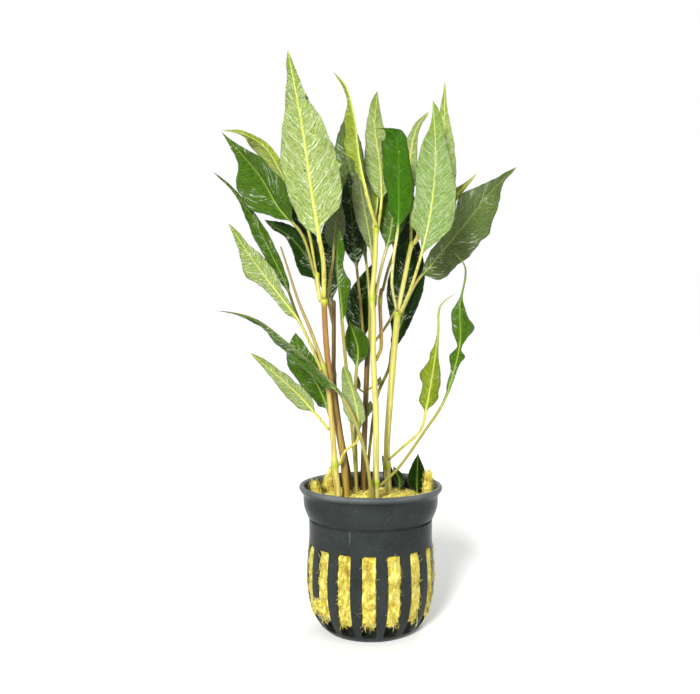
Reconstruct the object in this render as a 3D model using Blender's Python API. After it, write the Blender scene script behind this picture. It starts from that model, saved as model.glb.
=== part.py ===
import bmesh
import bpy
from math import cos, exp, pi, radians, sin, sqrt, tau
from mathutils import Matrix, Vector

# A young hygrophila rooted in rock wool, in a slotted net pot.
# Metres, +Z up. The origin is the centre of the pot's underside and the plant's front faces -Y.
# Routes and sizes in the tables are in millimetres.

MM = 0.001
GAP = 0.3  # clearance between neighbouring pieces

# The pot's outer and inner walls, as (radius, height)
POT_OUTER = [(17.0, 0), (18.9, 1.6), (20.9, 4.4), (22.6, 7.8), (23.8, 12.2), (24.5, 18), (24.4, 26),
             (23.7, 35), (23.75, 41.2), (24.25, 41.6), (24.6, 43.2), (25.75, 47.4), (25.95, 51.8),
             (26.9, 53.2), (27.5, 54.3), (27.3, 55.2), (26.5, 55.6), (25.6, 55.2)]
POT_INNER = [(24.9, 53.4), (24.6, 47.4), (23.4, 43.6), (22.6, 38), (23.2, 27), (23.3, 18), (22.6, 12.2),
             (20.2, 5.8), (17.8, 2.5), (16.2, 1.3)]
POT_SIDES = 32
SLOTS = 16
SLOT_WIDTH = 5.3
SLOT_BOTTOM, SLOT_TOP = 2.3, 33.6
SLOT_TURN = -1.3  # degrees that the front slot sits left of -Y
SLOT_REACH = (14.0, 30.0)  # radii between which a slot is cut

WOOL_BOTTOM, WOOL_TOP = 6.5, 49.2
WOOL_CROWN = 1.3  # rise of the wool's top at its middle
PAD_BOTTOM, PAD_TOP = 7.4, 32.8
PAD_NEAR = 18.0
PAD_INSET = 0.5  # how far the wool in a slot stays inside the pot's outer wall
WELL_BOTTOM, WELL_TOP = 41.0, 62.0
WELL_SIDES = 8
WELL_GAP = 0.35
ROOT_END = 41.5  # how low a stem reaches in the wool

STEM_SIDES = 6
STEM_STEPS = 10
NODE_SWELL = 0.35  # extra radius at a node, as a share
NODE_LENGTH = 1.6
NODE_REACH = 2.1  # from a node to the rings beside it

# Stems: route from the wool upwards, radius at the bottom and top, and heights of the swollen nodes
STEMS = {
    "stem_left": dict(
        route=[(-12.5, -6, 53.5), (-13.5, -6, 64), (-15, -7, 84), (-17, -6, 98), (-22.5, -4, 114),
               (-27.5, -3, 126), (-32, -1, 139.5), (-34.5, 0, 147)],
        radius=(1.1, 0.6), nodes=[64, 101], rooted=True),
    "stem_left_front": dict(
        route=[(-9.5, -1, 53), (-10.5, -2, 65.5), (-14, -3, 86.5), (-16, -3.5, 101), (-17, -5, 113),
               (-17.5, -8, 127)],
        radius=(1.3, 1.0), nodes=[126], rooted=True),
    "side_shoot_left": dict(
        route=[(-19.0, -6.1, 126.8), (-20, -4, 131.5), (-20.4, -2, 137)],
        radius=(0.8, 0.7), nodes=[136], rooted=False),
    "stem_main": dict(
        route=[(2, -7, 54), (2, -7, 63.5), (2, -7, 84), (1, -8, 105.5), (1, -8, 121.5), (0.5, -8, 127),
               (1.5, -8, 139.5), (2, -8, 153.5)],
        radius=(1.2, 0.85), nodes=[57.5, 127, 152.5], rooted=True),
    "stem_slender": dict(
        route=[(2.4, -6.6, 104.5), (3.9, -3.6, 108), (4, -1, 113), (3.6, 1, 126), (4.2, 2, 131)],
        radius=(0.65, 0.7), nodes=[126], rooted=False),
    "stem_right": dict(
        route=[(7, 10, 53), (6.5, 9, 61), (6.5, 8, 70), (7.5, 7, 85.5), (9, 6, 105), (10.5, 4, 122.5)],
        radius=(1.3, 1.15), nodes=[61, 121.5], rooted=True),
    "stem_right_top": dict(
        route=[(10.55, 4, 123.0), (12.5, 4, 132), (15, 3, 145), (16, 3, 149)],
        radius=(0.9, 0.8), nodes=[148], rooted=False),
    "stem_brown": dict(
        route=[(-3, 12, 52.5), (-2, 12, 85), (-1.5, 12, 98.5), (-1, 12, 109.5)],
        radius=(0.85, 0.75), nodes=[108.5], rooted=True),
    "stem_olive": dict(
        route=[(-8, 12, 52.5), (-12, 10, 75), (-14.5, 8, 97), (-14.5, 8, 105), (-14.5, 9, 115.5),
               (-14.5, 10, 126.5)],
        radius=(0.75, 0.55), nodes=[97], rooted=True),
}

# Leaves. route runs from the petiole's foot to the tip, and on and at say which stem it grows from and
# how high.
# stalk is the petiole's length. half is the blade's half width, widest where along the blade that is,
# and full and taper shape its base and tip; or right_edge and left_edge give points of its outline, as
# (share of the blade's length, distance from the midrib), seen from the upper side.
# roll is the turn about the midrib at foot and tip: 0 shows the upper side at the front and 180 the
# underside. fold lifts each half of the blade.
LEAVES = {
    "leaf_tall_front": dict(
        route=[(-17.5, -8.1, 127.5), (-17.5, -11, 140), (-19, -13, 149.5), (-21.5, -19, 166.5),
               (-24, -27, 186.5), (-28, -38, 210)], stalk=22, roll=(190, 200), fold=12, stem=0.85,
        tone="pale",
        right_edge=[(0.05, 3.5), (0.14, 7.9), (0.28, 10), (0.4, 11.4), (0.5, 10.5), (0.65, 7.3),
               (0.8, 4), (0.95, 1.3)],
        left_edge=[(0.08, 2.2), (0.12, 5.6), (0.16, 9.2), (0.24, 10.8), (0.36, 11.4), (0.48, 10.1),
               (0.6, 8), (0.7, 5.3), (0.8, 2.7), (0.9, 1.5)]),
    "leaf_upper_left": dict(
        on="side_shoot_left", at=135,
        route=[(-26.5, 3, 151.5), (-35.5, 7, 162), (-43, 11, 174.5), (-52, 15, 185.5), (-60, 18, 194)],
        stalk=24, roll=(30, 40), fold=20, tone="dark",
        right_edge=[(0.06, 7), (0.13, 10.5), (0.23, 11.6), (0.32, 10.4), (0.44, 9.3), (0.56, 7.8),
               (0.66, 6), (0.74, 3.6), (0.84, 1.8), (0.94, 0.5)],
        left_edge=[(0.1, 2.5), (0.2, 6), (0.3, 10.6), (0.42, 11.8), (0.55, 11.2), (0.63, 8.4),
               (0.7, 5.2), (0.78, 2.8), (0.9, 1.2)]),
    "leaf_upper_left_back": dict(
        on="side_shoot_left", at=136,
        route=[(-25, 10, 155), (-35.5, 20, 176.5), (-43.5, 24, 189), (-52, 23, 194), (-61, 25, 196)],
        stalk=22, roll=(200, 200), fold=40, tone="young",
        right_edge=[(0.2, 3.5), (0.45, 4.2), (0.58, 7), (0.7, 7.8), (0.77, 5.6), (0.82, 2), (0.9, 0.6)],
        left_edge=[(0.2, 3), (0.55, 2.6), (0.75, 1.8), (0.88, 1.3), (0.95, 0.6)]),
    "leaf_left_high": dict(
        on="stem_left", at=102,
        route=[(-28.5, 6, 120), (-33, 7.5, 132), (-39.5, 11.5, 145), (-46, 16.5, 157),
               (-52.5, 21, 167), (-57, 23.5, 172.5), (-65, 27, 179.5)], stalk=32, roll=(5, 5), fold=45,
        tone="green",
        right_edge=[(0.08, 2), (0.2, 4), (0.35, 4.4), (0.5, 3.6), (0.65, 2.2), (0.8, 1), (0.92, 0.6)],
        left_edge=[(0.08, 1.5), (0.2, 3), (0.4, 4.2), (0.55, 3.2), (0.7, 1.6), (0.8, 0.9),
               (0.92, 0.6)]),
    "leaf_left_pale": dict(
        on="stem_left", at=99.5,
        route=[(-26, -9, 117), (-33, -12, 127), (-41, -16, 138), (-51, -22, 153.5)], stalk=21,
        roll=(162, 162), fold=20, tone="pale",
        right_edge=[(0.08, 2), (0.2, 2.6), (0.36, 2.8), (0.46, 3.9), (0.55, 5.5), (0.63, 4.7),
               (0.72, 3.3), (0.82, 1.7), (0.92, 0.7)],
        left_edge=[(0.1, 1.2), (0.25, 2.4), (0.38, 3.8), (0.46, 5.3), (0.55, 4.8), (0.65, 3.9),
               (0.74, 2.4), (0.85, 1.9), (0.95, 0.8)]),
    "leaf_long_left": dict(
        route=[(0, -13, 55.5), (-1.5, -14, 67), (-5.5, -14.8, 81), (-11, -16, 91.5), (-20, -17, 101),
               (-31.5, -20.5, 111.5), (-41, -25, 119), (-52, -29, 122), (-55, -30, 122)], stalk=50,
        half=5, widest=0.3, full=1.2, taper=1.6, roll=(40, 85), fold=25, rooted=True, stem=0.7,
        tone="green"),
    "leaf_round_left": dict(
        on="stem_left", at=80.5,
        route=[(-18.5, 8, 88), (-21, 9, 93), (-25, 10.5, 99.5), (-28, 12, 105.5), (-30, 14, 113.5)],
        stalk=8, roll=(10, 10), fold=10, tone="dark",
        right_edge=[(0.1, 3), (0.3, 5), (0.6, 5), (0.85, 3)],
        left_edge=[(0.1, 2.5), (0.25, 4), (0.5, 6), (0.7, 6.4), (0.85, 4.5), (0.94, 2)]),
    "leaf_low_left": dict(
        on="stem_left", at=77,
        route=[(-25, -8, 88.5), (-32, -12, 96), (-44, -18, 107)], stalk=8, roll=(180, 180), fold=25,
        tone="pale",
        right_edge=[(0.04, 0.9), (0.1, 3.3), (0.2, 4.4), (0.38, 4.2), (0.53, 3.3), (0.68, 2.2),
               (0.82, 1.1), (0.92, 0.6)],
        left_edge=[(0.04, 1.8), (0.13, 2.8), (0.24, 3.5), (0.33, 3.1), (0.39, 2.6), (0.5, 2.8),
               (0.62, 2.3), (0.8, 1.8), (0.92, 0.9)]),
    "leaf_mid_left": dict(
        on="side_shoot_left", at=130,
        route=[(-23, 6.5, 139.5), (-30.5, 11.5, 150), (-42.5, 15, 158.5)], stalk=6, roll=(0, 0),
        fold=12, tone="dark",
        right_edge=[(0.1, 4.5), (0.3, 5.5), (0.5, 5), (0.7, 4), (0.85, 2.5)],
        left_edge=[(0.05, 3.5), (0.15, 5.2), (0.25, 5.4), (0.42, 4.2), (0.56, 2.6), (0.7, 1.2),
               (0.86, 1.4)]),
    "leaf_behind_left": dict(
        on="stem_olive", at=121,
        route=[(-16.5, 13.5, 136), (-16.5, 15, 150), (-16.5, 17.5, 163)], stalk=4, half=5.5,
        widest=0.45, full=1, taper=1.2, roll=(0, 0), fold=10, tone="dark"),
    "leaf_thin_centre": dict(
        route=[(-5.5, 5, 53.5), (-7.5, 1, 80), (-10, -1, 107.5), (-11.5, -3, 125), (-13, -5, 142),
               (-12, -6, 153)], stalk=76, roll=(-40, -40), fold=40, rooted=True, stem=0.65,
        tone="green",
        right_edge=[(0.1, 1.5), (0.26, 3.3), (0.42, 4.4), (0.52, 3.4), (0.62, 2.8), (0.78, 3),
               (0.9, 2)],
        left_edge=[(0.2, 0.8), (0.5, 0.6), (0.8, 1.2), (0.92, 0.8)]),
    "leaf_centre_dark": dict(
        on="stem_brown", at=108,
        route=[(-3.8, 12, 122.5), (-5.5, 13, 139), (-7.5, 16, 158.5), (-9, 21, 180)], stalk=31, half=6,
        widest=0.4, full=1, taper=1.3, roll=(3, 3), fold=20, tone="dark"),
    "leaf_centre_rear": dict(
        on="stem_brown", at=104,
        route=[(-4.5, 19, 116.5), (-3.5, 21, 126.5), (1, 24, 142)], stalk=6, half=5.5, widest=0.45,
        full=0.9, taper=1.1, roll=(0, 0), fold=15, tone="dark"),
    "leaf_centre_low": dict(
        route=[(-5.5, 8, 53), (-6, 6, 91), (-5.5, 6, 100), (-5, 6, 107.5), (-8.5, 7, 118.5)], stalk=58,
        half=3.8, widest=0.5, full=1, taper=1.2, roll=(0, 0), fold=15, rooted=True, stem=0.65,
        tone="green"),
    "leaf_low_front": dict(
        on="stem_left", at=64,
        route=[(-9.5, -8, 69.5), (-5, -9.5, 73.5), (-4.5, -10, 79.5), (-6, -11, 90), (-10, -13, 102)],
        stalk=16, roll=(165, 170), fold=20, tone="pale",
        right_edge=[(0.05, 1.5), (0.25, 3.6), (0.45, 3.9), (0.64, 3.2), (0.8, 2.1), (0.94, 1)],
        left_edge=[(0.05, 1.3), (0.2, 2.7), (0.4, 2.4), (0.52, 1.7), (0.65, 1), (0.84, 1.4),
               (0.94, 0.7)]),
    "leaf_tall_centre": dict(
        route=[(1.9, -8.2, 154), (-1, -12, 163), (-4, -14, 175.5), (-6, -17, 191), (-9, -20, 202),
               (-13.5, -23, 207)], stalk=14, roll=(135, 135), fold=42, stem=0.7, tone="young",
        right_edge=[(0.14, 1.3), (0.2, 2.2), (0.25, 2), (0.3, 4), (0.38, 4.5), (0.5, 4), (0.6, 2.9),
               (0.7, 1.4), (0.8, 1), (0.92, 0.6)],
        left_edge=[(0.1, 1.5), (0.3, 2.5), (0.5, 1.5), (0.66, 0.8), (0.82, 1.2), (0.93, 0.6)]),
    "leaf_olive_back": dict(
        on="stem_brown", at=100,
        route=[(-0.5, 15.3, 113), (-0.5, 15.5, 126), (-2, 19.5, 143), (-6.5, 22, 162), (-9, 26, 184),
               (-9.5, 31, 207)], stalk=42, half=6.6, widest=0.6, full=1, taper=1.2, roll=(0, 0),
        fold=15, tone="olive"),
    "leaf_pale_centre": dict(
        on="stem_main", at=151.5,
        route=[(4, -4, 164), (3.5, -5, 176.5), (1.5, -7, 190.5), (2.5, -10, 203)], stalk=12,
        roll=(172, 172), fold=20, tone="pale",
        right_edge=[(0.1, 3), (0.25, 5.5), (0.37, 6.2), (0.46, 5.4), (0.55, 4.2), (0.7, 3.4),
               (0.8, 2.6), (0.9, 2), (0.96, 1)],
        left_edge=[(0.15, 3), (0.35, 3.6), (0.5, 4.2), (0.62, 4.6), (0.72, 3.4), (0.81, 2.3),
               (0.9, 1)]),
    "leaf_grey_centre": dict(
        on="stem_main", at=138,
        route=[(-0.5, -1, 151), (-3, 2, 164.5), (-5.5, 6, 182.5)], stalk=6, half=5, widest=0.5,
        full=0.9, taper=1.2, roll=(190, 190), fold=20, tone="olive"),
    "leaf_bright": dict(
        on="stem_right", at=122,
        route=[(8, -4, 132), (8.5, -8, 142), (10, -11, 153), (10, -15, 170.5), (9.8, -16, 180),
               (8.6, -14, 186.3), (5.5, -12.3, 189.3), (1, -12.3, 190)], stalk=32, roll=(0, 0), fold=8,
        tone="bright",
        right_edge=[(0.07, 1.2), (0.13, 3), (0.19, 4.9), (0.35, 5.7), (0.5, 4.9), (0.6, 3.9),
               (0.72, 3.5), (0.78, 3), (0.84, 1.6), (0.92, 0.5)],
        left_edge=[(0.08, 0.9), (0.16, 3.2), (0.32, 4.2), (0.45, 5.5), (0.6, 5.9), (0.72, 5.3),
               (0.78, 4.2), (0.84, 2), (0.92, 0.5)]),
    "leaf_small_right": dict(
        on="stem_right_top", at=147,
        route=[(15.5, 8, 169), (15.5, 9, 183), (18, 11, 193.5), (23, 12, 200.5)], stalk=20,
        roll=(180, 180), fold=20, tone="pale",
        right_edge=[(0.15, 3), (0.4, 3.6), (0.58, 2.9), (0.7, 2.2), (0.82, 1.6), (0.92, 0.8)],
        left_edge=[(0.15, 2.6), (0.4, 3), (0.58, 2.2), (0.7, 1.5), (0.82, 1), (0.92, 0.6)]),
    "leaf_pale_right": dict(
        on="stem_right", at=121.5,
        route=[(15.5, -5, 132), (19.5, -12, 146.5), (22, -17, 160.5), (23, -22, 177.5),
               (21.5, -27, 195.5)], stalk=25, roll=(185, 185), fold=15, tone="pale",
        right_edge=[(0.08, 0.8), (0.14, 2.4), (0.2, 6.2), (0.27, 7.5), (0.4, 6.7), (0.48, 6.8),
               (0.56, 7.6), (0.66, 6.2), (0.76, 4.6), (0.84, 1.9), (0.92, 0.5)],
        left_edge=[(0.05, 1.2), (0.1, 2.9), (0.16, 5.8), (0.22, 8.5), (0.3, 9.3), (0.46, 8.4),
               (0.56, 6.9), (0.7, 4.4), (0.82, 3), (0.94, 1.9)]),
    "leaf_pale_right_back": dict(
        on="stem_right_top", at=147.5,
        route=[(21.5, -6, 160), (25.5, -10, 172), (26.5, -14, 188), (26.5, -18, 204.5)], stalk=12,
        roll=(180, 180), fold=15, tone="pale",
        right_edge=[(0.1, 2.5), (0.3, 4.5), (0.5, 4), (0.7, 2.6), (0.82, 1.5), (0.92, 0.6)],
        left_edge=[(0.1, 3), (0.25, 6), (0.36, 6.1), (0.46, 5), (0.58, 4), (0.72, 2.2), (0.83, 0.9),
               (0.94, 0.4)]),
    "leaf_young_right": dict(
        on="stem_right_top", at=148,
        route=[(23, 7, 156.5), (30, 9, 164), (42, 13, 176.5)], stalk=12, roll=(180, 180), fold=20,
        tone="young",
        right_edge=[(0.15, 1.5), (0.4, 2.5), (0.6, 2.1), (0.72, 1.2), (0.86, 0.5)],
        left_edge=[(0.15, 1.5), (0.4, 2.1), (0.58, 1.5), (0.72, 1), (0.86, 0.6)]),
    "leaf_broad_right": dict(
        on="stem_right", at=120.5,
        route=[(18, 9, 133.5), (26, 13, 143), (38, 18, 157.5), (47.5, 22, 169.5), (59.5, 27, 181)],
        stalk=17, roll=(-30, -30), fold=15, tone="olive",
        right_edge=[(0.07, 6), (0.15, 8.1), (0.27, 9.2), (0.42, 10.4), (0.47, 9.8), (0.53, 10.5),
               (0.62, 8.8), (0.72, 6.2), (0.78, 5.1), (0.83, 2.4), (0.88, 0.9), (0.95, 0.7)],
        left_edge=[(0.1, 4), (0.3, 6.5), (0.42, 8.4), (0.53, 11.1), (0.6, 10.3), (0.7, 6.5),
               (0.8, 3.8), (0.9, 1.9)]),
    "leaf_rear_right": dict(
        route=[(-1.5, 16, 51.5), (2.5, 14, 87.5), (7.5, 14, 100), (8.5, 15, 107), (13, 18, 120),
               (15, 21, 134), (18, 26, 156)], stalk=66, roll=(0, 0), fold=15, rooted=True, stem=0.65,
        tone="dark",
        right_edge=[(0.06, 1.9), (0.15, 2.9), (0.28, 4), (0.4, 5.6), (0.5, 6.7), (0.65, 6.5),
               (0.82, 4)],
        left_edge=[(0.05, 1.2), (0.12, 2), (0.2, 4.3), (0.3, 6.4), (0.42, 8.2), (0.6, 8), (0.8, 5)]),
    "leaf_dark_right": dict(
        on="stem_brown", at=109,
        route=[(6, 12, 116), (10.5, 13, 124.5), (13.5, 16, 138.5), (15, 21, 158)], stalk=16, half=5.3,
        widest=0.45, full=1, taper=1.1, roll=(0, 0), fold=15, tone="dark"),
    "leaf_hanging_right": dict(
        on="stem_right", at=64,
        route=[(12.5, 0, 70), (19, -4, 77), (21, -5, 85), (23.5, -5, 99), (25.5, -4, 113),
               (26.5, -2, 124), (33.5, 2, 129.5)], stalk=28, roll=(18, 18), fold=20, steps=14,
        tone="green",
        right_edge=[(0.03, 0.8), (0.08, 2.8), (0.14, 4.2), (0.24, 4.1), (0.33, 3.2), (0.42, 1.6),
               (0.52, 0.7), (0.6, 0.45), (0.8, 0.35)],
        left_edge=[(0.03, 2.2), (0.07, 3.4), (0.17, 3.1), (0.22, 3.5), (0.26, 4.7), (0.31, 4.4),
               (0.35, 3.2), (0.4, 2.2), (0.46, 2), (0.52, 1), (0.6, 0.5), (0.8, 0.35)]),
    "leaf_twisted_right": dict(
        on="stem_main", at=56.5,
        route=[(10, -12, 63.5), (19.5, -15, 77.5), (26.3, -17, 88.5), (30.5, -18, 101.5),
               (32.5, -17.5, 111.5), (32.5, -16.5, 124), (34.5, -14, 138), (30.5, -12, 144)], stalk=38,
        roll=(-30, 40), fold=20, steps=18, tone="green",
        right_edge=[(0.1, 0.5), (0.2, 0.9), (0.27, 1.2), (0.32, 2), (0.35, 3), (0.38, 1), (0.42, 1.4),
               (0.46, 3.2), (0.51, 5.8), (0.56, 4), (0.64, 1.8), (0.7, 0.6), (0.85, 0.4)],
        left_edge=[(0.1, 0.3), (0.17, 1.3), (0.25, 1.3), (0.33, 3), (0.37, 2), (0.4, 0.9),
               (0.46, 2.4), (0.54, 3.2), (0.61, 3.2), (0.66, 1.2), (0.7, 0.5), (0.85, 0.4)]),
    "leaf_in_pot_right": dict(
        route=[(18.3, 7.5, 52), (18.3, 7, 57), (18.6, 6.5, 66.5)], stalk=9, half=4, widest=0.3,
        full=0.5, taper=1.1, roll=(10, 10), fold=15, steps=6, rooted=True, stem=0.7, tone="dark"),
    "leaf_in_pot_centre": dict(
        route=[(11.5, 12, 52), (11.5, 12, 55), (9, 12, 60.5)], stalk=9, half=2.2, widest=0.4, full=0.5,
        taper=1.1, roll=(0, 0), fold=15, steps=6, rooted=True, stem=0.7, tone="dark"),
    "leaf_in_pot_back": dict(
        route=[(7.5, 19, 52.5), (7, 19, 57.5), (4.5, 18, 64)], stalk=9, half=2.2, widest=0.4, full=0.6,
        taper=1.1, roll=(0, 0), fold=15, steps=6, rooted=True, stem=0.7, tone="dark"),
    "leaf_behind_tall": dict(
        on="stem_olive", at=117,
        route=[(-20.5, 20, 141.5), (-26, 27, 156), (-30, 33, 172.5), (-37, 40, 204)], stalk=31,
        half=6.5, widest=0.45, full=1, taper=1.3, roll=(0, 0), fold=15, tone="dark"),
    "leaf_reddish": dict(
        on="stem_left_front", at=124,
        route=[(-14.5, 0, 141), (-14, 1, 151), (-12, 4, 167)], stalk=22, half=4.5, widest=0.4, full=0.8,
        taper=1.2, roll=(180, 180), fold=20, tone="olive"),
    "leaf_behind_bright": dict(
        on="stem_main", at=126,
        route=[(4, -4, 138.5), (7, -2, 150), (8.5, 1, 160.5), (10, 5, 178.5)], stalk=20, half=5,
        widest=0.45, full=0.9, taper=1.2, roll=(0, 0), fold=15, tone="green"),
    "leaf_slender_stem": dict(
        on="stem_slender", at=130,
        route=[(6.5, 5, 137.5), (10, 8, 148), (12.5, 12, 160), (14, 17, 178)], stalk=16, half=6,
        widest=0.4, full=0.9, taper=1.2, roll=(0, 0), fold=15, tone="dark"),
    "leaflet_left": dict(
        on="stem_brown", at=90,
        route=[(-4.5, 10, 91.5), (-5, 9.5, 96.5)], stalk=2, half=1.4, widest=0.5, full=0.8, taper=1,
        roll=(30, 30), fold=20, steps=6, stem=0.4, tone="olive"),
    "leaflet_right": dict(
        on="stem_brown", at=91,
        route=[(2, 10, 93), (4, 9, 96.5)], stalk=2, half=1.4, widest=0.5, full=0.8, taper=1,
        roll=(-30, -30), fold=20, steps=6, stem=0.4, tone="olive"),
    "leaflet_low": dict(
        on="stem_brown", at=79,
        route=[(-0.5, 9.5, 82), (0, 8.5, 87)], stalk=2, half=1.4, widest=0.5, full=0.8, taper=1,
        roll=(0, 0), fold=20, steps=6, stem=0.4, tone="olive"),
    "leaf_arched_centre": dict(
        on="stem_main", at=146,
        route=[(1.2, -3.6, 155), (2.4, -1.5, 163), (2.2, -0.5, 168), (0.1, -0.5, 172.4),
               (-3.3, -1.5, 175.2), (-6.7, -2.5, 177)], stalk=12, half=2.2, widest=0.4, full=0.9,
        taper=1.2, roll=(150, 150), fold=25, tone="young"),
}
PETIOLE_RADIUS = 0.55
STALK_STEPS = 3  # rings along a petiole, more on a long one
BLADE_STEPS = 9  # rings along a blade
RIB_HEIGHT = 0.35  # how far the midrib stands above the blade's upper side
KEEL_HEIGHT = 0.55  # and below its underside
THIN_RIB, THIN_KEEL = 0.12, 0.15  # the least of both, near the tip
FOLD_START = 8  # a blade is folded fully after an eighth of its length
ROW_LENGTH = 10  # length of petiole between rings, at most

# Base colour, roughness
FINISHES = {
    "pot": ((0.045, 0.052, 0.052), 0.42),
    "wool": ((0.80, 0.58, 0.13), 0.95),
    "yellow_stem": ((0.72, 0.66, 0.22), 0.45),
    "tan_stem": ((0.62, 0.37, 0.20), 0.45),
    "brown_stem": ((0.20, 0.10, 0.03), 0.5),
    "pale": ((0.42, 0.60, 0.20), 0.4),
    "young": ((0.38, 0.47, 0.06), 0.4),
    "green": ((0.08, 0.22, 0.02), 0.3),
    "bright": ((0.05, 0.26, 0.01), 0.3),
    "dark": ((0.02, 0.07, 0.01), 0.25),
    "olive": ((0.09, 0.12, 0.05), 0.35),
}
STEM_TONES = {"stem_left_front": "tan_stem", "side_shoot_left": "yellow_stem", "stem_brown": "brown_stem",
              "stem_olive": "brown_stem", "stem_slender": "tan_stem"}


def finish(tone):
    material = bpy.data.materials.get(tone)
    if material is None:
        material = bpy.data.materials.new(tone)
        material.use_nodes = True
        shader = material.node_tree.nodes["Principled BSDF"]
        colour, roughness = FINISHES[tone]
        shader.inputs["Base Color"].default_value = (*colour, 1)
        shader.inputs["Roughness"].default_value = roughness
        material.diffuse_color = (*colour, 1)
    return material


def add_object(name, bm, tone, sharp=35):
    mesh = bpy.data.meshes.new(name)
    bmesh.ops.scale(bm, vec=(MM, MM, MM), verts=bm.verts)
    bm.to_mesh(mesh)
    bm.free()
    mesh.shade_smooth()
    mesh.set_sharp_from_angle(angle=radians(sharp))
    mesh.materials.append(finish(tone))
    piece = bpy.data.objects.new(name, mesh)
    bpy.context.scene.collection.objects.link(piece)
    return piece


def as_cutter(piece):
    piece.hide_render = True
    piece.display_type = "WIRE"
    return piece


def add_boolean(piece, other, operation):
    modifier = piece.modifiers.new(operation.title(), "BOOLEAN")
    modifier.operation = operation
    modifier.solver = "EXACT"
    modifier.object = as_cutter(other)


# A route through the given points, as a centripetal Catmull-Rom curve
def smooth_route(points, steps=12):
    points = [Vector(p) for p in points]
    ends = [2 * points[0] - points[1]] + points + [2 * points[-1] - points[-2]]
    curve = []
    for p0, p1, p2, p3 in zip(ends, ends[1:], ends[2:], ends[3:]):
        t1 = sqrt((p1 - p0).length)
        t2 = t1 + sqrt((p2 - p1).length)
        t3 = t2 + sqrt((p3 - p2).length)
        for step in range(steps):
            t = t1 + (t2 - t1) * step / steps
            a1 = p0.lerp(p1, t / t1)
            a2 = p1.lerp(p2, (t - t1) / (t2 - t1))
            a3 = p2.lerp(p3, (t - t2) / (t3 - t2))
            b1 = a1.lerp(a2, t / t2)
            b2 = a2.lerp(a3, (t - t1) / (t3 - t1))
            curve.append(b1.lerp(b2, (t - t1) / (t2 - t1)))
    curve.append(points[-1])
    return curve


def lengths_along(curve):
    lengths = [0.0]
    for a, b in zip(curve, curve[1:]):
        lengths.append(lengths[-1] + (b - a).length)
    return lengths


# The point and direction at a distance along a curve
def point_at(curve, lengths, distance):
    distance = min(max(distance, 0.0), lengths[-1])
    i = 0
    while i < len(lengths) - 2 and lengths[i + 1] < distance:
        i += 1
    share = (distance - lengths[i]) / (lengths[i + 1] - lengths[i])
    before = curve[max(i - 1, 0)]
    after = curve[min(i + 2, len(curve) - 1)]
    return curve[i].lerp(curve[i + 1], share), (after - before).normalized()


# Width and face directions across a midrib that runs along a tangent, turned by roll
def across(tangent, roll):
    wide = Vector((0, 1, 0)).cross(tangent).normalized()
    face = wide.cross(tangent).normalized()
    turn = radians(roll)
    return wide * cos(turn) + face * sin(turn), face * cos(turn) - wide * sin(turn)


def rooted_route(route):
    x, y, z = route[0]
    return [(x, y, ROOT_END), (x, y, (ROOT_END + z) / 2)] + route


def stem_curve(name):
    stem = STEMS[name]
    route = rooted_route(stem["route"]) if stem["rooted"] else stem["route"]
    return smooth_route(route)


def stem_radius(name, z):
    stem = STEMS[name]
    low, high = stem["route"][0][2], stem["route"][-1][2]
    share = min(max((z - low) / (high - low), 0), 1)
    radius = stem["radius"][0] + (stem["radius"][1] - stem["radius"][0]) * share
    swell = sum(exp(-((z - node) / NODE_LENGTH) ** 2) for node in stem["nodes"])
    return radius * (1 + NODE_SWELL * min(swell, 1))


def stem_centre(name, z):
    curve = stem_curve(name)
    return min(curve, key=lambda p: abs(p.z - z))


def bridge_rings(bm, rings):
    for lower, upper in zip(rings, rings[1:]):
        count = len(lower)
        for i in range(count):
            j = (i + 1) % count
            if len(upper) == 1:
                bm.faces.new((lower[i], lower[j], upper[0]))
            else:
                bm.faces.new((lower[i], lower[j], upper[j], upper[i]))
    bm.faces.new(rings[0][::-1])
    if len(rings[-1]) > 1:
        bm.faces.new(rings[-1])


def add_stem(name):
    curve = stem_curve(name)
    lengths = lengths_along(curve)
    stops = [lengths[-1] * i / STEM_STEPS for i in range(STEM_STEPS + 1)]
    heights = [point_at(curve, lengths, s)[0].z for s in stops]
    for node in STEMS[name]["nodes"]:
        i = min(range(1, STEM_STEPS), key=lambda k: abs(heights[k] - node))
        if heights[0] + NODE_LENGTH < node < heights[-1] - NODE_LENGTH:
            run = (node - heights[i]) / max(point_at(curve, lengths, stops[i])[1].z, 0.2)
            stops += [stops[i] + run - NODE_REACH, stops[i] + run + NODE_REACH]
            stops[i] += run
    bm = bmesh.new()
    rings = []
    for stop in sorted(stops):
        centre, tangent = point_at(curve, lengths, stop)
        wide, face = across(tangent, 0)
        radius = stem_radius(name, centre.z)
        turns = [tau * k / STEM_SIDES for k in range(STEM_SIDES)]
        ring = [centre + radius * (wide * cos(turn) - face * sin(turn)) for turn in turns]
        rings.append([bm.verts.new(point) for point in ring])
    bridge_rings(bm, rings)
    bmesh.ops.recalc_face_normals(bm, faces=bm.faces)
    return add_object(name, bm, STEM_TONES.get(name, "yellow_stem"))


# Half width of a blade on one side, at a share of its length
def blade_width(leaf, edge, share):
    if edge in leaf:
        points = [(0, 0)] + leaf[edge] + [(1, 0)]
        for (low, here), (high, there) in zip(points, points[1:]):
            if share <= high:
                return here + (there - here) * (share - low) / (high - low)
    widest = leaf["widest"]
    if share < widest:
        return leaf["half"] * sin(pi / 2 * share / widest) ** leaf["full"]
    return leaf["half"] * cos(pi / 2 * (share - widest) / (1 - widest)) ** leaf["taper"]


def petiole_radius(leaf):
    return leaf.get("stem", PETIOLE_RADIUS)


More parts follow.
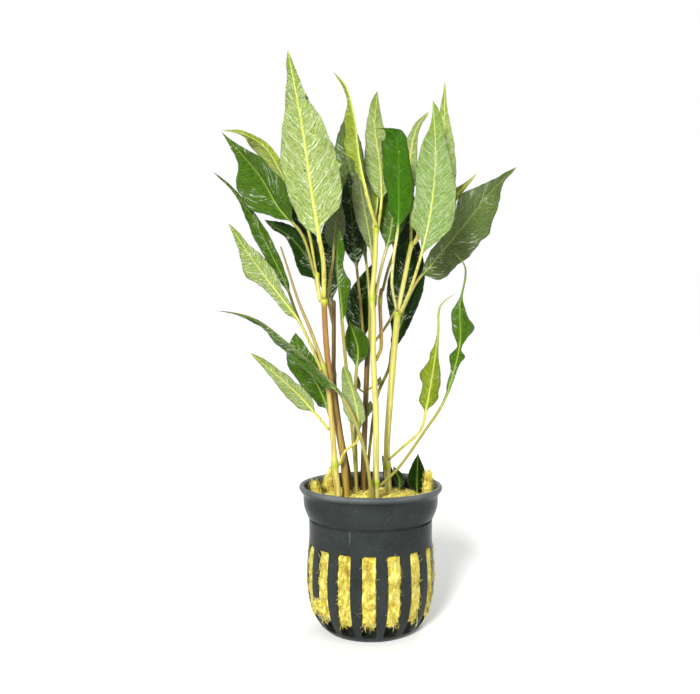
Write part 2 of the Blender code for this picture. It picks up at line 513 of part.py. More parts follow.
# A leaf's route starts at its own first point, at the wool or beside the stem it grows from
def leaf_route(leaf):
    route = leaf["route"]
    if leaf.get("rooted"):
        return rooted_route(route)
    if "on" not in leaf:
        return route
    centre = stem_centre(leaf["on"], leaf["at"])
    out = Vector((route[0][0] - centre.x, route[0][1] - centre.y, 0)).normalized()
    foot = centre + out * (stem_radius(leaf["on"], leaf["at"]) + petiole_radius(leaf) + 1.5 * GAP)
    return [tuple(foot)] + route


def add_leaf(name):
    leaf = LEAVES[name]
    curve = smooth_route(leaf_route(leaf))
    lengths = lengths_along(curve)
    whole, stalk, radius = lengths[-1], leaf["stalk"], petiole_radius(leaf)
    steps = max(STALK_STEPS, round(stalk / ROW_LENGTH))
    stops = [stalk * i / steps for i in range(steps)]
    blade_steps = leaf.get("steps", BLADE_STEPS)
    stops += [stalk + (whole - stalk) * i / blade_steps for i in range(blade_steps)]
    bm = bmesh.new()
    rings = []
    for stop in stops:
        centre, tangent = point_at(curve, lengths, stop)
        share = (stop - stalk) / (whole - stalk)
        start, end = leaf["roll"]
        wide, face = across(tangent, start + (end - start) * stop / whole)
        right = left = rib = keel = radius
        if share > 0:
            least = radius * (1 - share)
            right = max(least, blade_width(leaf, "right_edge", share))
            left = max(least, blade_width(leaf, "left_edge", share))
            rib = max(RIB_HEIGHT * (1 - share), THIN_RIB)
            keel = max(KEEL_HEIGHT * (1 - share), THIN_KEEL)
        fold = radians(leaf["fold"]) * min(max(share * FOLD_START, 0), 1)
        out, up = wide * cos(fold), face * sin(fold)
        ring = [centre + right * (up + out), centre + face * rib,
                centre + left * (up - out), centre - face * keel]
        rings.append([bm.verts.new(p) for p in ring])
    rings.append([bm.verts.new(curve[-1])])
    bridge_rings(bm, rings)
    bmesh.ops.recalc_face_normals(bm, faces=bm.faces)
    return add_object(name, bm, leaf["tone"], sharp=180)


def turned(profile, sides):
    bm = bmesh.new()
    rings = []
    for radius, height in profile:
        rings.append([bm.verts.new((radius * cos(tau * k / sides), radius * sin(tau * k / sides), height))
                      for k in range(sides)])
    bridge_rings(bm, rings)
    bmesh.ops.recalc_face_normals(bm, faces=bm.faces)
    return bm


# A box that points outwards from the axis at an angle, between two radii and two heights
def add_radial_box(bm, angle, near, far, width, low, high):
    box = bmesh.ops.create_cube(bm, size=1)
    place = (Matrix.Rotation(radians(angle - 90), 4, "Z")
             @ Matrix.Translation(((near + far) / 2, 0, (low + high) / 2))
             @ Matrix.Diagonal((far - near, width, high - low, 1)))
    bmesh.ops.transform(bm, matrix=place, verts=box["verts"])
    return box["verts"]


def slot_angles():
    return [SLOT_TURN + 360 * i / SLOTS for i in range(SLOTS)]


def add_pot():
    pot = add_object("net_pot", turned(POT_OUTER + POT_INNER, POT_SIDES), "pot")
    cuts = bmesh.new()
    for angle in slot_angles():
        add_radial_box(cuts, angle, *SLOT_REACH, SLOT_WIDTH, SLOT_BOTTOM, SLOT_TOP)
    add_boolean(pot, add_object("slot_cuts", cuts, "pot"), "DIFFERENCE")
    return pot


# The wool fills the pot, stands in each slot, and sticks out as a flap and three tufts
WOOL_SIDE = [(20.05, WOOL_BOTTOM), (22.2, 12.2), (22.85, 18), (22.75, 27), (22.15, 38), (22.95, 43.6),
             (23.9, 47.6), (23.6, WOOL_TOP), (15, WOOL_TOP + 0.7 * WOOL_CROWN), (5, WOOL_TOP + WOOL_CROWN)]
FLAP = dict(angle=-47, near=21.0, far=26.8, width=4.3, low=8.0, high=17.0)
FLAP_LIFT = 5.0  # the flap's lower edge rises outwards
TUFT_SIDES, TUFT_TIP = 7, 0.5  # a tuft narrows to this share of its foot
TUFTS = [((-21.0, 2.5), 2.0, 56.0, (-0.6, 0)), ((22.0, 3.2), 1.7, 60.0, (0.6, 0)),
         ((-15.5, 14.0), 1.9, 61.0, (1.5, 0.5))]


def add_wool():
    wool = add_object("rock_wool", turned(WOOL_SIDE, POT_SIDES), "wool")
    pads = bmesh.new()
    for angle in slot_angles():
        add_radial_box(pads, angle, PAD_NEAR, SLOT_REACH[1], SLOT_WIDTH - 2.4 * GAP, PAD_BOTTOM, PAD_TOP)
    pads = add_object("wool_pads", pads, "wool")
    skin = [(radius - PAD_INSET, height) for radius, height in POT_OUTER if height < ROOT_END]
    add_boolean(pads, add_object("wool_skin", turned(skin, POT_SIDES), "wool"), "INTERSECT")
    add_boolean(wool, pads, "UNION")
    extras = bmesh.new()
    for (x, y), size, top, lean in TUFTS:
        low = WOOL_TOP - 2
        cone = bmesh.ops.create_cone(extras, segments=TUFT_SIDES, radius1=size,
                                     radius2=TUFT_TIP * size, depth=top - low, cap_ends=True)
        place = Matrix.Translation((x, y, (low + top) / 2))
        bmesh.ops.transform(extras, matrix=place, verts=cone["verts"])
        for vert in cone["verts"]:
            if vert.co.z > (low + top) / 2:
                vert.co.x += lean[0]
                vert.co.y += lean[1]
    add_boolean(wool, add_object("wool_extras", extras, "wool"), "UNION")
    flap = bmesh.new()
    corners = add_radial_box(flap, **FLAP)
    for vert in corners:
        outside = vert.co.xy.length > (FLAP["near"] + FLAP["far"]) / 2
        if outside and vert.co.z < (FLAP["low"] + FLAP["high"]) / 2:
            vert.co.z += FLAP_LIFT
    add_boolean(wool, add_object("wool_flap", flap, "wool"), "UNION")
    wells = bmesh.new()
    growing = [(s["route"][0], s["radius"][0]) for s in STEMS.values() if s["rooted"]]
    growing += [(leaf["route"][0], petiole_radius(leaf)) for leaf in LEAVES.values() if leaf.get("rooted")]
    for (x, y, _), radius in growing:
        reach = (radius + WELL_GAP) / cos(pi / WELL_SIDES)
        well = bmesh.ops.create_cone(wells, segments=WELL_SIDES, radius1=reach, radius2=reach,
                                     depth=WELL_TOP - WELL_BOTTOM, cap_ends=True)
        bmesh.ops.translate(wells, vec=(x, y, (WELL_TOP + WELL_BOTTOM) / 2), verts=well["verts"])
    add_boolean(wool, add_object("wells", wells, "wool"), "DIFFERENCE")
    return wool


def main():
    for thing in list(bpy.data.objects):
        bpy.data.objects.remove(thing, do_unlink=True)
    add_pot()
    add_wool()
    for name in STEMS:
        add_stem(name)
    for name in LEAVES:
        add_leaf(name)


main()
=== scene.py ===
# A young hygrophila rooted in rock wool, in a slotted net pot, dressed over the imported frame.
import bpy
import bmesh
import random
from math import cos, exp, pi, radians, sin, sqrt, tau
from mathutils import Matrix, Vector, noise


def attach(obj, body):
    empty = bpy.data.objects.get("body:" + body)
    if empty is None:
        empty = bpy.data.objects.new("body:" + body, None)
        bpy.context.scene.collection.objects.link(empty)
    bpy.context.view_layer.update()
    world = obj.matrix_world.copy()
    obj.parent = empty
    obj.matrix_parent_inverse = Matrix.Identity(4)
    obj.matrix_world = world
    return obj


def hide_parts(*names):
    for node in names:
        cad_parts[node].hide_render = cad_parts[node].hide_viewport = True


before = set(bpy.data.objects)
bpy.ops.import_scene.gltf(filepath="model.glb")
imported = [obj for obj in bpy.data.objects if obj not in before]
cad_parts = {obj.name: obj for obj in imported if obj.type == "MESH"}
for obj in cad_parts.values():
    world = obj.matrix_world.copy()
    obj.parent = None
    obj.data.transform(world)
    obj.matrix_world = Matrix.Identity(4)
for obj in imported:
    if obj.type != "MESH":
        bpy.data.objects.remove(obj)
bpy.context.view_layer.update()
mm = 0.001  # the tables below are in millimetres
dice = random.Random(7)


def hexColour(code):  # sRGB hex to the linear values that shaders take
    parts = [int(code[i:i + 2], 16) / 255 for i in (1, 3, 5)]
    return tuple(p / 12.92 if p <= 0.04045 else ((p + 0.055) / 1.055) ** 2.4 for p in parts) + (1,)


# The camera stands where the photograph was taken from
camera = dict(place=(0, -340, 122), pitchDown=2.3, yawLeft=1.334, lens=45.67, sensor=36)


def addCamera():
    data = bpy.data.cameras.new("camera")
    data.lens = camera["lens"]
    data.sensor_width = camera["sensor"]
    data.clip_start = 0.01
    holder = bpy.data.objects.new("camera", data)
    holder.location = Vector(camera["place"]) * mm
    holder.rotation_euler = (radians(90 - camera["pitchDown"]), 0, radians(camera["yawLeft"]))
    bpy.context.scene.collection.objects.link(holder)
    bpy.context.scene.camera = holder


# The key is a large soft light that stands far off, and two soft boxes fill from the right and from behind.
# spread is the key's width in degrees as the plant sees it
lights = dict(
    key=dict(kind="SUN", place=(-170, -590, 360), spread=12, strength=5.8),
    fill=dict(kind="AREA", place=(480, -380, 260), size=260, strength=0.9),
    back=dict(kind="AREA", place=(160, 520, 480), size=300, strength=1.4))
# A lit white wall stands behind the plant. The rest of the room is dimmer: the light falls from full to dim
# between wallInner and wallOuter degrees off the middle of that wall
studio = dict(middle=(0, 0, 105), walls="#ffffff", wallInner=32, wallOuter=47, dim=0.46,
              floor="#f4f4f2", floorSize=8000)


def addLights():
    for name, light in lights.items():
        data = bpy.data.lights.new(name, light["kind"])
        data.energy = light["strength"]
        if light["kind"] == "SUN":
            data.angle = radians(light["spread"])
        else:
            data.shape = "SQUARE"
            data.size = light["size"] * mm
        lamp = bpy.data.objects.new(name, data)
        place = Vector(light["place"])
        lamp.location = place * mm
        lamp.rotation_euler = (Vector(studio["middle"]) - place).to_track_quat("-Z", "Y").to_euler()
        bpy.context.scene.collection.objects.link(lamp)


def addStudio():
    world = bpy.data.worlds.new("studio")
    world.use_nodes = True
    sky = world.node_tree.nodes["Background"]
    sky.inputs["Color"].default_value = hexColour(studio["walls"])
    away = addNode(world, "ShaderNodeTexCoord")["Generated"]
    away = addNode(world, "ShaderNodeSeparateXYZ", {"Vector": away})["Y"]
    shade = addNode(world, "ShaderNodeMapRange", {
        "Value": away, "From Min": cos(radians(studio["wallOuter"])), "From Max": cos(radians(studio["wallInner"])),
        "To Min": studio["dim"], "To Max": 1.0})["Result"]
    world.node_tree.links.new(shade, sky.inputs["Strength"])
    bpy.context.scene.world = world
    bpy.context.scene.view_settings.view_transform = "Standard"
    bm = bmesh.new()
    bmesh.ops.create_grid(bm, x_segments=2, y_segments=2, size=studio["floorSize"] * mm / 2)
    floorPiece = addPiece("floor", bm)
    floorPiece.data.materials.append(mattePaper())


# Adds one node with its settings and links, and gives its outputs. An input is a value, or a socket to link
def addNode(material, kind, inputs=None, **settings):
    nodes, links = material.node_tree.nodes, material.node_tree.links
    node = nodes.new(kind)
    for key, value in settings.items():
        setattr(node, key, value)
    for key, value in (inputs or {}).items():
        if isinstance(value, bpy.types.NodeSocket):
            links.new(value, node.inputs[key])
        else:
            node.inputs[key].default_value = value
    return node.outputs


def newMaterial(name):
    material = bpy.data.materials.new(name)
    material.use_nodes = True
    return material, material.node_tree.nodes["Principled BSDF"]


# Sets the shader's values, or links them where they are sockets, and adds a bump of a depth in millimetres
def setShader(material, shader, values, height=None, depth=0.0):
    if height is not None:
        values["Normal"] = addNode(material, "ShaderNodeBump", {
            "Height": height, "Distance": depth * mm, "Strength": 1.0})["Normal"]
    for key, value in values.items():
        if isinstance(value, bpy.types.NodeSocket):
            material.node_tree.links.new(value, shader.inputs[key])
        else:
            shader.inputs[key].default_value = value


def mattePaper():  # paper roll: an even, bright white that takes a soft shadow
    material, shader = newMaterial("studioPaper")
    setShader(material, shader, {"Base Color": hexColour(studio["floor"]), "Roughness": 0.9})
    return material


def addPiece(name, bm):
    mesh = bpy.data.meshes.new(name)
    bm.to_mesh(mesh)
    bm.free()
    mesh.shade_smooth()
    piece = bpy.data.objects.new(name, mesh)
    bpy.context.scene.collection.objects.link(piece)
    return piece


def nodeName(name):  # "leafTallFront" stands for the node "leaf_tall_front"
    return "".join("_" + letter.lower() if letter.isupper() else letter for letter in name)


def dress(piece, material, slot, *nodes):
    piece.data.materials.append(material)
    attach(piece, "root")
    if nodes:
        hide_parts(*nodes)


# A route through its points, as a centripetal Catmull-Rom curve
def smoothRoute(points, steps=12):
    points = [Vector(point) for point in points]
    ends = [2 * points[0] - points[1]] + points + [2 * points[-1] - points[-2]]
    curve = []
    for p0, p1, p2, p3 in zip(ends, ends[1:], ends[2:], ends[3:]):
        t1 = sqrt((p1 - p0).length)
        t2 = t1 + sqrt((p2 - p1).length)
        t3 = t2 + sqrt((p3 - p2).length)
        for step in range(steps):
            t = t1 + (t2 - t1) * step / steps
            a1 = p0.lerp(p1, t / t1)
            a2 = p1.lerp(p2, (t - t1) / (t2 - t1))
            a3 = p2.lerp(p3, (t - t2) / (t3 - t2))
            b1 = a1.lerp(a2, t / t2)
            b2 = a2.lerp(a3, (t - t1) / (t3 - t1))
            curve.append(b1.lerp(b2, (t - t1) / (t2 - t1)))
    return curve + [points[-1]]


def lengthsAlong(curve):
    lengths = [0.0]
    for start, end in zip(curve, curve[1:]):
        lengths.append(lengths[-1] + (end - start).length)
    return lengths


def pointAt(curve, lengths, distance):  # place and direction at a distance along a curve
    distance = min(max(distance, 0.0), lengths[-1])
    i = 0
    while i < len(lengths) - 2 and lengths[i + 1] < distance:
        i += 1
    share = (distance - lengths[i]) / (lengths[i + 1] - lengths[i])
    before, after = curve[max(i - 1, 0)], curve[min(i + 2, len(curve) - 1)]
    return curve[i].lerp(curve[i + 1], share), (after - before).normalized()


def acrossRoute(tangent, roll):  # directions of the width and of the upper face; roll 0 faces the viewer
    wide = Vector((0, 1, 0)).cross(tangent).normalized()
    face = wide.cross(tangent).normalized()
    turn = radians(roll)
    return wide * cos(turn) + face * sin(turn), face * cos(turn) - wide * sin(turn)


def smoothStep(low, high, x):
    t = min(max((x - low) / (high - low), 0), 1)
    return t * t * (3 - 2 * t)


# A closed skin from a grid that is wrapped round a piece. placePoint takes the column and the row and gives
# the place and the attributes that the materials read
def wrappedSkin(name, columns, rows, placePoint):
    bm = bmesh.new()
    place = bm.verts.layers.float_vector.new("place")
    form = bm.verts.layers.float_vector.new("form")
    bmesh.ops.create_grid(bm, x_segments=columns, y_segments=rows, size=0.5)
    for vert in bm.verts:
        column, row = round((vert.co.x + 0.5) * columns), round((vert.co.y + 0.5) * rows)
        vert.co, vert[place], vert[form] = placePoint(column, row)
    bmesh.ops.remove_doubles(bm, verts=bm.verts, dist=0.001)
    bmesh.ops.holes_fill(bm, edges=[edge for edge in bm.edges if edge.is_boundary])
    bmesh.ops.scale(bm, vec=(mm, mm, mm), verts=bm.verts)
    bmesh.ops.recalc_face_normals(bm, faces=bm.faces)
    return addPiece(name, bm)


# Stems: route from the wool upwards, radius at the bottom and top, and heights of the swollen nodes
stems = {
    "stemLeft": dict(
        route=[(-12.5, -6, 53.5), (-13.5, -6, 64), (-15, -7, 84), (-17, -6, 98), (-22.5, -4, 114),
               (-27.5, -3, 126), (-32, -1, 139.5), (-34.5, 0, 147)],
        radius=(1.25, 0.3), nodes=[64, 101], rooted=True),
    "stemLeftFront": dict(
        route=[(-9.5, -1, 53), (-10.5, -2, 65.5), (-14, -3, 86.5), (-16, -3.5, 101), (-17, -5, 113),
               (-17.5, -8, 127)],
        radius=(1.3, 1.0), nodes=[126], rooted=True),
    "sideShootLeft": dict(
        route=[(-19.0, -6.1, 126.8), (-20, -4, 131.5), (-20.4, -2, 137)],
        radius=(0.8, 0.7), nodes=[136], rooted=False),
    "stemMain": dict(
        route=[(2, -7, 54), (2, -7, 63.5), (2, -7, 84), (1, -8, 105.5), (1, -8, 121.5), (0.5, -8, 127),
               (1.5, -8, 139.5), (2, -8, 153.5)],
        radius=(1.2, 0.85), nodes=[57.5, 127, 152.5], rooted=True),
    "stemSlender": dict(
        route=[(2.4, -6.6, 104.5), (3.9, -3.6, 108), (4, -1, 113), (3.6, 1, 126), (4.2, 2, 131)],
        radius=(0.65, 0.7), nodes=[126], rooted=False),
    "stemRight": dict(
        route=[(7, 10, 53), (6.5, 9, 61), (6.5, 8, 70), (7.5, 7, 85.5), (9, 6, 105), (10.5, 4, 122.5)],
        radius=(1.3, 1.15), nodes=[61, 121.5], rooted=True),
    "stemRightTop": dict(
        route=[(10.55, 4, 123.0), (12.5, 4, 132), (15, 3, 145), (16, 3, 149)],
        radius=(0.9, 0.8), nodes=[148], rooted=False),
    "stemBrown": dict(
        route=[(-3, 12, 52.5), (-2, 12, 85), (-1.5, 12, 98.5), (-1, 12, 109.5)],
        radius=(1.15, 1.0), nodes=[108.5], rooted=True),
    "stemOlive": dict(
        route=[(-8, 12, 52.5), (-12, 10, 75), (-14.5, 8, 97), (-14.5, 8, 105), (-14.5, 9, 115.5),
               (-14.5, 10, 126.5)],
        radius=(1.0, 0.75), nodes=[97], rooted=True),
}
stemForm = dict(rootEnd=41.5, nodeSwell=0.35, nodeLength=1.6, dome=0.8, columns=24, rowEvery=0.7, ridges=0.035,
                bumps=0.03, sunk=1.0)


def rootedRoute(route):  # a piece that is rooted in the wool starts down in its well
    x, y, z = route[0]
    return [(x, y, stemForm["rootEnd"]), (x, y, (stemForm["rootEnd"] + z) / 2)] + route


def sunkStart(route, depth):  # a shoot that grows on top of another starts a little inside it
    first, second = Vector(route[0]), Vector(route[1])
    return [tuple(first + (first - second).normalized() * depth)] + route[1:]


def stemCurve(name):
    stem = stems[name]
    route = stem["route"]
    return smoothRoute(rootedRoute(route) if stem["rooted"] else sunkStart(route, stemForm["sunk"]))


def stemRadius(name, z):
    stem = stems[name]
    low, high = stem["route"][0][2], stem["route"][-1][2]
    share = min(max((z - low) / (high - low), 0), 1)
    radius = stem["radius"][0] + (stem["radius"][1] - stem["radius"][0]) * share
    return radius * (1 + stemForm["nodeSwell"] * nodeNearness(name, z))


def nodeNearness(name, z):  # 1 at a node, falling to 0 a few millimetres away
    return min(sum(exp(-((z - node) / stemForm["nodeLength"]) ** 2) for node in stems[name]["nodes"]), 1)


def addStem(name):
    curve = stemCurve(name)
    lengths = lengthsAlong(curve)
    rows = round(lengths[-1] / stemForm["rowEvery"])
    columns = stemForm["columns"]
    rings = []
    for row in range(rows + 1):
        distance = lengths[-1] * row / rows
        centre, tangent = pointAt(curve, lengths, distance)
        wide, face = acrossRoute(tangent, 0)
        fromTop = min((lengths[-1] - distance) / stemForm["dome"], 1)
        dome = sqrt(max(1 - (1 - fromTop) ** 2, 0.04))
        near = nodeNearness(name, centre.z)
        rings.append((centre, wide, face, stemRadius(name, centre.z) * dome, distance, near))

    def placePoint(column, row):
        centre, wide, face, radius, distance, near = rings[row]
        turn = tau * column / columns
        ridge = 1 + stemForm["ridges"] * cos(4 * turn) * (1 - near)
        ridge += stemForm["bumps"] * noise.noise(Vector((centre.x, centre.y, centre.z * 0.4)))
        point = centre + radius * ridge * (wide * cos(turn) - face * sin(turn))
        return point, (radius * sin(turn), distance, near), (0, row / rows, 0)

    return wrappedSkin(name, columns, rows, placePoint)


# Leaves. route runs from the petiole's foot to the tip, and on and at say which stem it grows from and
# how high. stalk is the petiole's length. rightEdge and leftEdge give (share along the blade, millimetres
# from the midrib) as seen from the upper side; where they aren't given, half, widest, full and taper are the
# half width, where along the blade it is, and the shape of the base and tip. roll is the turn about the
# midrib at foot and tip: 0 shows the upper side at the front and 180 the underside. fold lifts each half.
leaves = {
    "leafTallFront": dict(
        route=[(-17.5, -8.1, 127.5), (-17.5, -11, 140), (-19, -13, 149.5), (-21.5, -19, 166.5),
               (-24, -27, 186.5), (-28, -38, 210)], stalk=22, roll=(190, 200), fold=12, petiole=0.85,
        tissue="pale",
        rightEdge=[(0.05, 3.5), (0.14, 7.9), (0.28, 10), (0.4, 11.4), (0.5, 10.5), (0.65, 7.3),
               (0.8, 4), (0.95, 1.3)],
        leftEdge=[(0.08, 2.2), (0.12, 5.6), (0.16, 9.2), (0.24, 10.8), (0.35, 11.2), (0.375, 11.3), (0.4, 12.4),
               (0.41, 11), (0.48, 10.1),
               (0.6, 8), (0.7, 5.3), (0.8, 2.7), (0.9, 1.5)]),
    "leafUpperLeft": dict(
        on="sideShootLeft", at=135,
        route=[(-26.5, 3, 151.5), (-35.5, 7, 162), (-43, 11, 174.5), (-52, 15, 185.5), (-60, 18, 194)],
        stalk=24, roll=(30, 40), fold=20, tissue="dark", look="green",
        rightEdge=[(0.06, 7), (0.13, 10.5), (0.23, 11.6), (0.32, 10.4), (0.44, 9.3), (0.56, 7.8),
               (0.66, 6), (0.74, 3.6), (0.84, 1.8), (0.94, 0.5)],
        leftEdge=[(0.1, 2.5), (0.2, 6), (0.3, 10.6), (0.42, 11.8), (0.55, 11.2), (0.63, 8.4),
               (0.7, 5.2), (0.78, 2.8), (0.9, 1.2)]),
    "leafUpperLeftBack": dict(
        on="sideShootLeft", at=136,
        route=[(-25, 10, 155), (-35.5, 20, 176.5), (-43.5, 24, 189), (-52, 23, 194), (-61, 25, 196)],
        stalk=22, roll=(200, 200), fold=40, tissue="young",
        rightEdge=[(0.2, 3.5), (0.45, 4.2), (0.58, 7), (0.7, 7.8), (0.77, 5.6), (0.82, 2), (0.9, 0.6)],
        leftEdge=[(0.2, 3), (0.55, 2.6), (0.75, 1.8), (0.88, 1.3), (0.95, 0.6)]),
    "leafLeftHigh": dict(
        on="stemLeft", at=102,
        route=[(-28.5, 6, 120), (-33, 7.5, 132), (-39.5, 11.5, 145), (-46, 16.5, 157),
               (-52.5, 21, 167), (-57, 23.5, 172.5), (-65, 27, 179.5)], stalk=32, roll=(5, 5), fold=45,
        tissue="green",
        rightEdge=[(0.08, 2), (0.2, 4), (0.35, 4.4), (0.5, 3.6), (0.65, 2.2), (0.8, 1), (0.92, 0.6)],
        leftEdge=[(0.08, 1.5), (0.2, 3), (0.4, 4.2), (0.55, 3.2), (0.7, 1.6), (0.8, 0.9), (0.92, 0.6)]),
    "leafLeftPale": dict(
        on="stemLeft", at=99.5,
        route=[(-26, -9, 117), (-33, -12, 127), (-41, -16, 138), (-51, -22, 153.5)], stalk=21,
        roll=(162, 162), fold=20, tissue="pale",
        rightEdge=[(0.08, 2), (0.2, 2.6), (0.36, 2.8), (0.46, 3.9), (0.55, 5.5), (0.63, 4.7),
               (0.72, 3.3), (0.82, 1.7), (0.92, 0.7)],
        leftEdge=[(0.1, 1.2), (0.25, 2.4), (0.38, 3.8), (0.46, 5.3), (0.55, 4.8), (0.65, 3.9),
               (0.74, 2.4), (0.85, 1.9), (0.95, 0.8)]),
    "leafLongLeft": dict(
        route=[(0, -13, 55.5), (-1.5, -14, 67), (-5.5, -14.8, 81), (-11, -16, 91.5), (-20, -17, 101),
               (-31.5, -20.5, 111.5), (-41, -25, 119), (-52, -29, 122), (-55, -30, 122)], stalk=50,
        half=5, widest=0.3, full=1.2, taper=1.6, roll=(40, 85), fold=25, rooted=True, petiole=0.7,
        tissue="green"),
    "leafRoundLeft": dict(
        on="stemLeft", at=80.5,
        route=[(-18.5, 8, 88), (-21, 9, 93), (-25, 10.5, 99.5), (-28, 12, 105.5), (-30, 14, 113.5)],
        stalk=8, roll=(10, 10), fold=10, tissue="dark", look="green",
        rightEdge=[(0.1, 3), (0.3, 5), (0.6, 5), (0.85, 3)],
        leftEdge=[(0.1, 2.5), (0.25, 4), (0.5, 6), (0.7, 6.4), (0.85, 4.5), (0.94, 2)]),
    "leafLowLeft": dict(
        on="stemLeft", at=77,
        route=[(-25, -8, 88.5), (-32, -12, 96), (-44, -18, 107)], stalk=8, roll=(180, 180), fold=25,
        tissue="pale",
        rightEdge=[(0.04, 0.9), (0.1, 3.3), (0.2, 4.4), (0.38, 4.2), (0.53, 3.3), (0.68, 2.2),
               (0.82, 1.1), (0.92, 0.6)],
        leftEdge=[(0.04, 1.8), (0.13, 2.8), (0.24, 3.5), (0.33, 3.1), (0.39, 2.6), (0.5, 2.8),
               (0.62, 2.3), (0.8, 1.8), (0.92, 0.9)]),
    "leafMidLeft": dict(
        on="sideShootLeft", at=130,
        route=[(-23, 6.5, 139.5), (-30.5, 11.5, 150), (-42.5, 15, 158.5)], stalk=6, roll=(0, 0),
        fold=12, tissue="dark",
        rightEdge=[(0.1, 4.5), (0.3, 5.5), (0.5, 5), (0.7, 4), (0.85, 2.5)],
        leftEdge=[(0.05, 3.5), (0.15, 5.2), (0.25, 5.4), (0.42, 4.2), (0.56, 2.6), (0.7, 1.2),
               (0.86, 1.4)]),
    "leafBehindLeft": dict(
        on="stemOlive", at=121,
        route=[(-16.5, 13.5, 136), (-16.5, 15, 150), (-16.5, 17.5, 163)], stalk=4, half=5.5,
        widest=0.45, full=1, taper=1.2, roll=(0, 0), fold=10, tissue="dark"),
    "leafThinCentre": dict(
        route=[(-5.5, 5, 53.5), (-7.5, 1, 80), (-10, -1, 107.5), (-11.5, -3, 125), (-13, -5, 142),
               (-12, -6, 153)], stalk=76, roll=(-40, -40), fold=40, rooted=True, petiole=0.65,
        tissue="green",
        rightEdge=[(0.1, 1.5), (0.26, 3.3), (0.42, 4.4), (0.52, 3.4), (0.62, 2.8), (0.78, 3), (0.9, 2)],
        leftEdge=[(0.2, 0.8), (0.5, 0.6), (0.8, 1.2), (0.92, 0.8)]),
    "leafCentreDark": dict(
        on="stemBrown", at=108,
        route=[(-3.8, 12, 122.5), (-5.5, 13, 139), (-7.5, 16, 158.5), (-9, 21, 180)], stalk=31, half=6,
        widest=0.4, full=1, taper=1.3, roll=(3, 3), fold=20, tissue="dark"),
    "leafCentreRear": dict(
        on="stemBrown", at=104,
        route=[(-4.5, 19, 116.5), (-3.5, 21, 126.5), (1, 24, 142)], stalk=6, half=6.4, widest=0.45,
        full=0.9, taper=1.1, roll=(0, 0), fold=15, tissue="dark"),
    "leafCentreLow": dict(
        route=[(-5.5, 8, 53), (-6, 6, 91), (-5.5, 6, 100), (-5, 6, 107.5), (-8.5, 7, 118.5)], stalk=58,
        half=4.9, widest=0.5, full=1, taper=1.2, roll=(0, 0), fold=15, rooted=True, petiole=0.65,
        tissue="green"),
    "leafLowFront": dict(
        on="stemLeft", at=64,
        route=[(-9.5, -8, 69.5), (-5, -9.5, 73.5), (-4.5, -10, 79.5), (-6, -11, 90), (-10, -13, 102)],
        stalk=16, roll=(165, 170), fold=20, tissue="pale",
        rightEdge=[(0.05, 1.9), (0.25, 4.5), (0.45, 4.9), (0.64, 4), (0.8, 2.6), (0.94, 1.2)],
        leftEdge=[(0.05, 1.6), (0.2, 3.4), (0.4, 3), (0.52, 2.1), (0.65, 1.2), (0.84, 1.8),
               (0.94, 0.9)]),
    "leafTallCentre": dict(
        route=[(1.9, -8.2, 154), (-1, -12, 163), (-4, -14, 175.5), (-6, -17, 191), (-9, -20, 202),
               (-13.5, -23, 207)], stalk=14, roll=(135, 135), fold=42, petiole=0.7, tissue="young",
        rightEdge=[(0.14, 1.3), (0.2, 2.2), (0.25, 2), (0.3, 4), (0.38, 4.5), (0.5, 4), (0.6, 2.9),
               (0.7, 1.4), (0.8, 1), (0.92, 0.6)],
        leftEdge=[(0.1, 1.5), (0.3, 2.5), (0.5, 1.5), (0.66, 0.8), (0.82, 1.2), (0.93, 0.6)]),
    "leafOliveBack": dict(
        on="stemBrown", at=100,
        route=[(-0.5, 15.3, 113), (-0.5, 15.5, 126), (-2, 19.5, 143), (-6.5, 22, 162), (-9, 26, 184),
               (-9.5, 31, 207)], stalk=42, half=6.6, widest=0.6, full=1, taper=1.2, roll=(0, 0),
        fold=15, tissue="olive"),
    "leafPaleCentre": dict(
        on="stemMain", at=151.5,
        route=[(4, -4, 164), (3.5, -5, 176.5), (1.5, -7, 190.5), (2.5, -10, 203)], stalk=12,
        roll=(172, 172), fold=20, tissue="pale",
        rightEdge=[(0.1, 3), (0.25, 5.5), (0.37, 6.2), (0.46, 5.4), (0.55, 4.2), (0.7, 3.4),
               (0.8, 2.6), (0.9, 2), (0.96, 1)],
        leftEdge=[(0.15, 3), (0.35, 3.6), (0.5, 4.2), (0.62, 4.6), (0.72, 3.4), (0.81, 2.3), (0.9, 1)]),
    "leafGreyCentre": dict(
        on="stemMain", at=138,
        route=[(-0.5, -1, 151), (-3, 2, 164.5), (-5.5, 6, 182.5)], stalk=6, half=5, widest=0.5,
        full=0.9, taper=1.2, roll=(190, 190), fold=20, tissue="olive"),
    "leafBright": dict(
        on="stemRight", at=122,
        route=[(8, -4, 132), (8.5, -8, 142), (10, -11, 153), (10, -15, 170.5), (9.8, -16, 180),
               (8.8, -14, 185.6), (5.9, -12.3, 188.3), (0.6, -12.3, 188.9)], stalk=32, roll=(0, 0), fold=8,
        tissue="bright",
        rightEdge=[(0.07, 1.2), (0.13, 3), (0.19, 4.9), (0.35, 5.7), (0.5, 4.9), (0.6, 3.9),
               (0.72, 3.7), (0.78, 3.3), (0.84, 1.6), (0.9, 0.45)],
        leftEdge=[(0.08, 0.9), (0.16, 3.2), (0.32, 4.2), (0.45, 5.5), (0.6, 5.9), (0.72, 5.8),
               (0.78, 5.2), (0.84, 3.4), (0.9, 0.5)]),
    "leafSmallRight": dict(
        on="stemRightTop", at=147,
        route=[(15.5, 8, 169), (15.5, 9, 183), (18, 11, 193.5), (23, 12, 200.5)], stalk=20,
        roll=(180, 180), fold=20, tissue="pale",
        rightEdge=[(0.15, 3), (0.4, 3.6), (0.58, 2.9), (0.7, 2.2), (0.82, 1.6), (0.92, 0.8)],
        leftEdge=[(0.15, 2.6), (0.4, 3), (0.58, 2.2), (0.7, 1.5), (0.82, 1), (0.92, 0.6)]),
    "leafPaleRight": dict(
        on="stemRight", at=121.5,
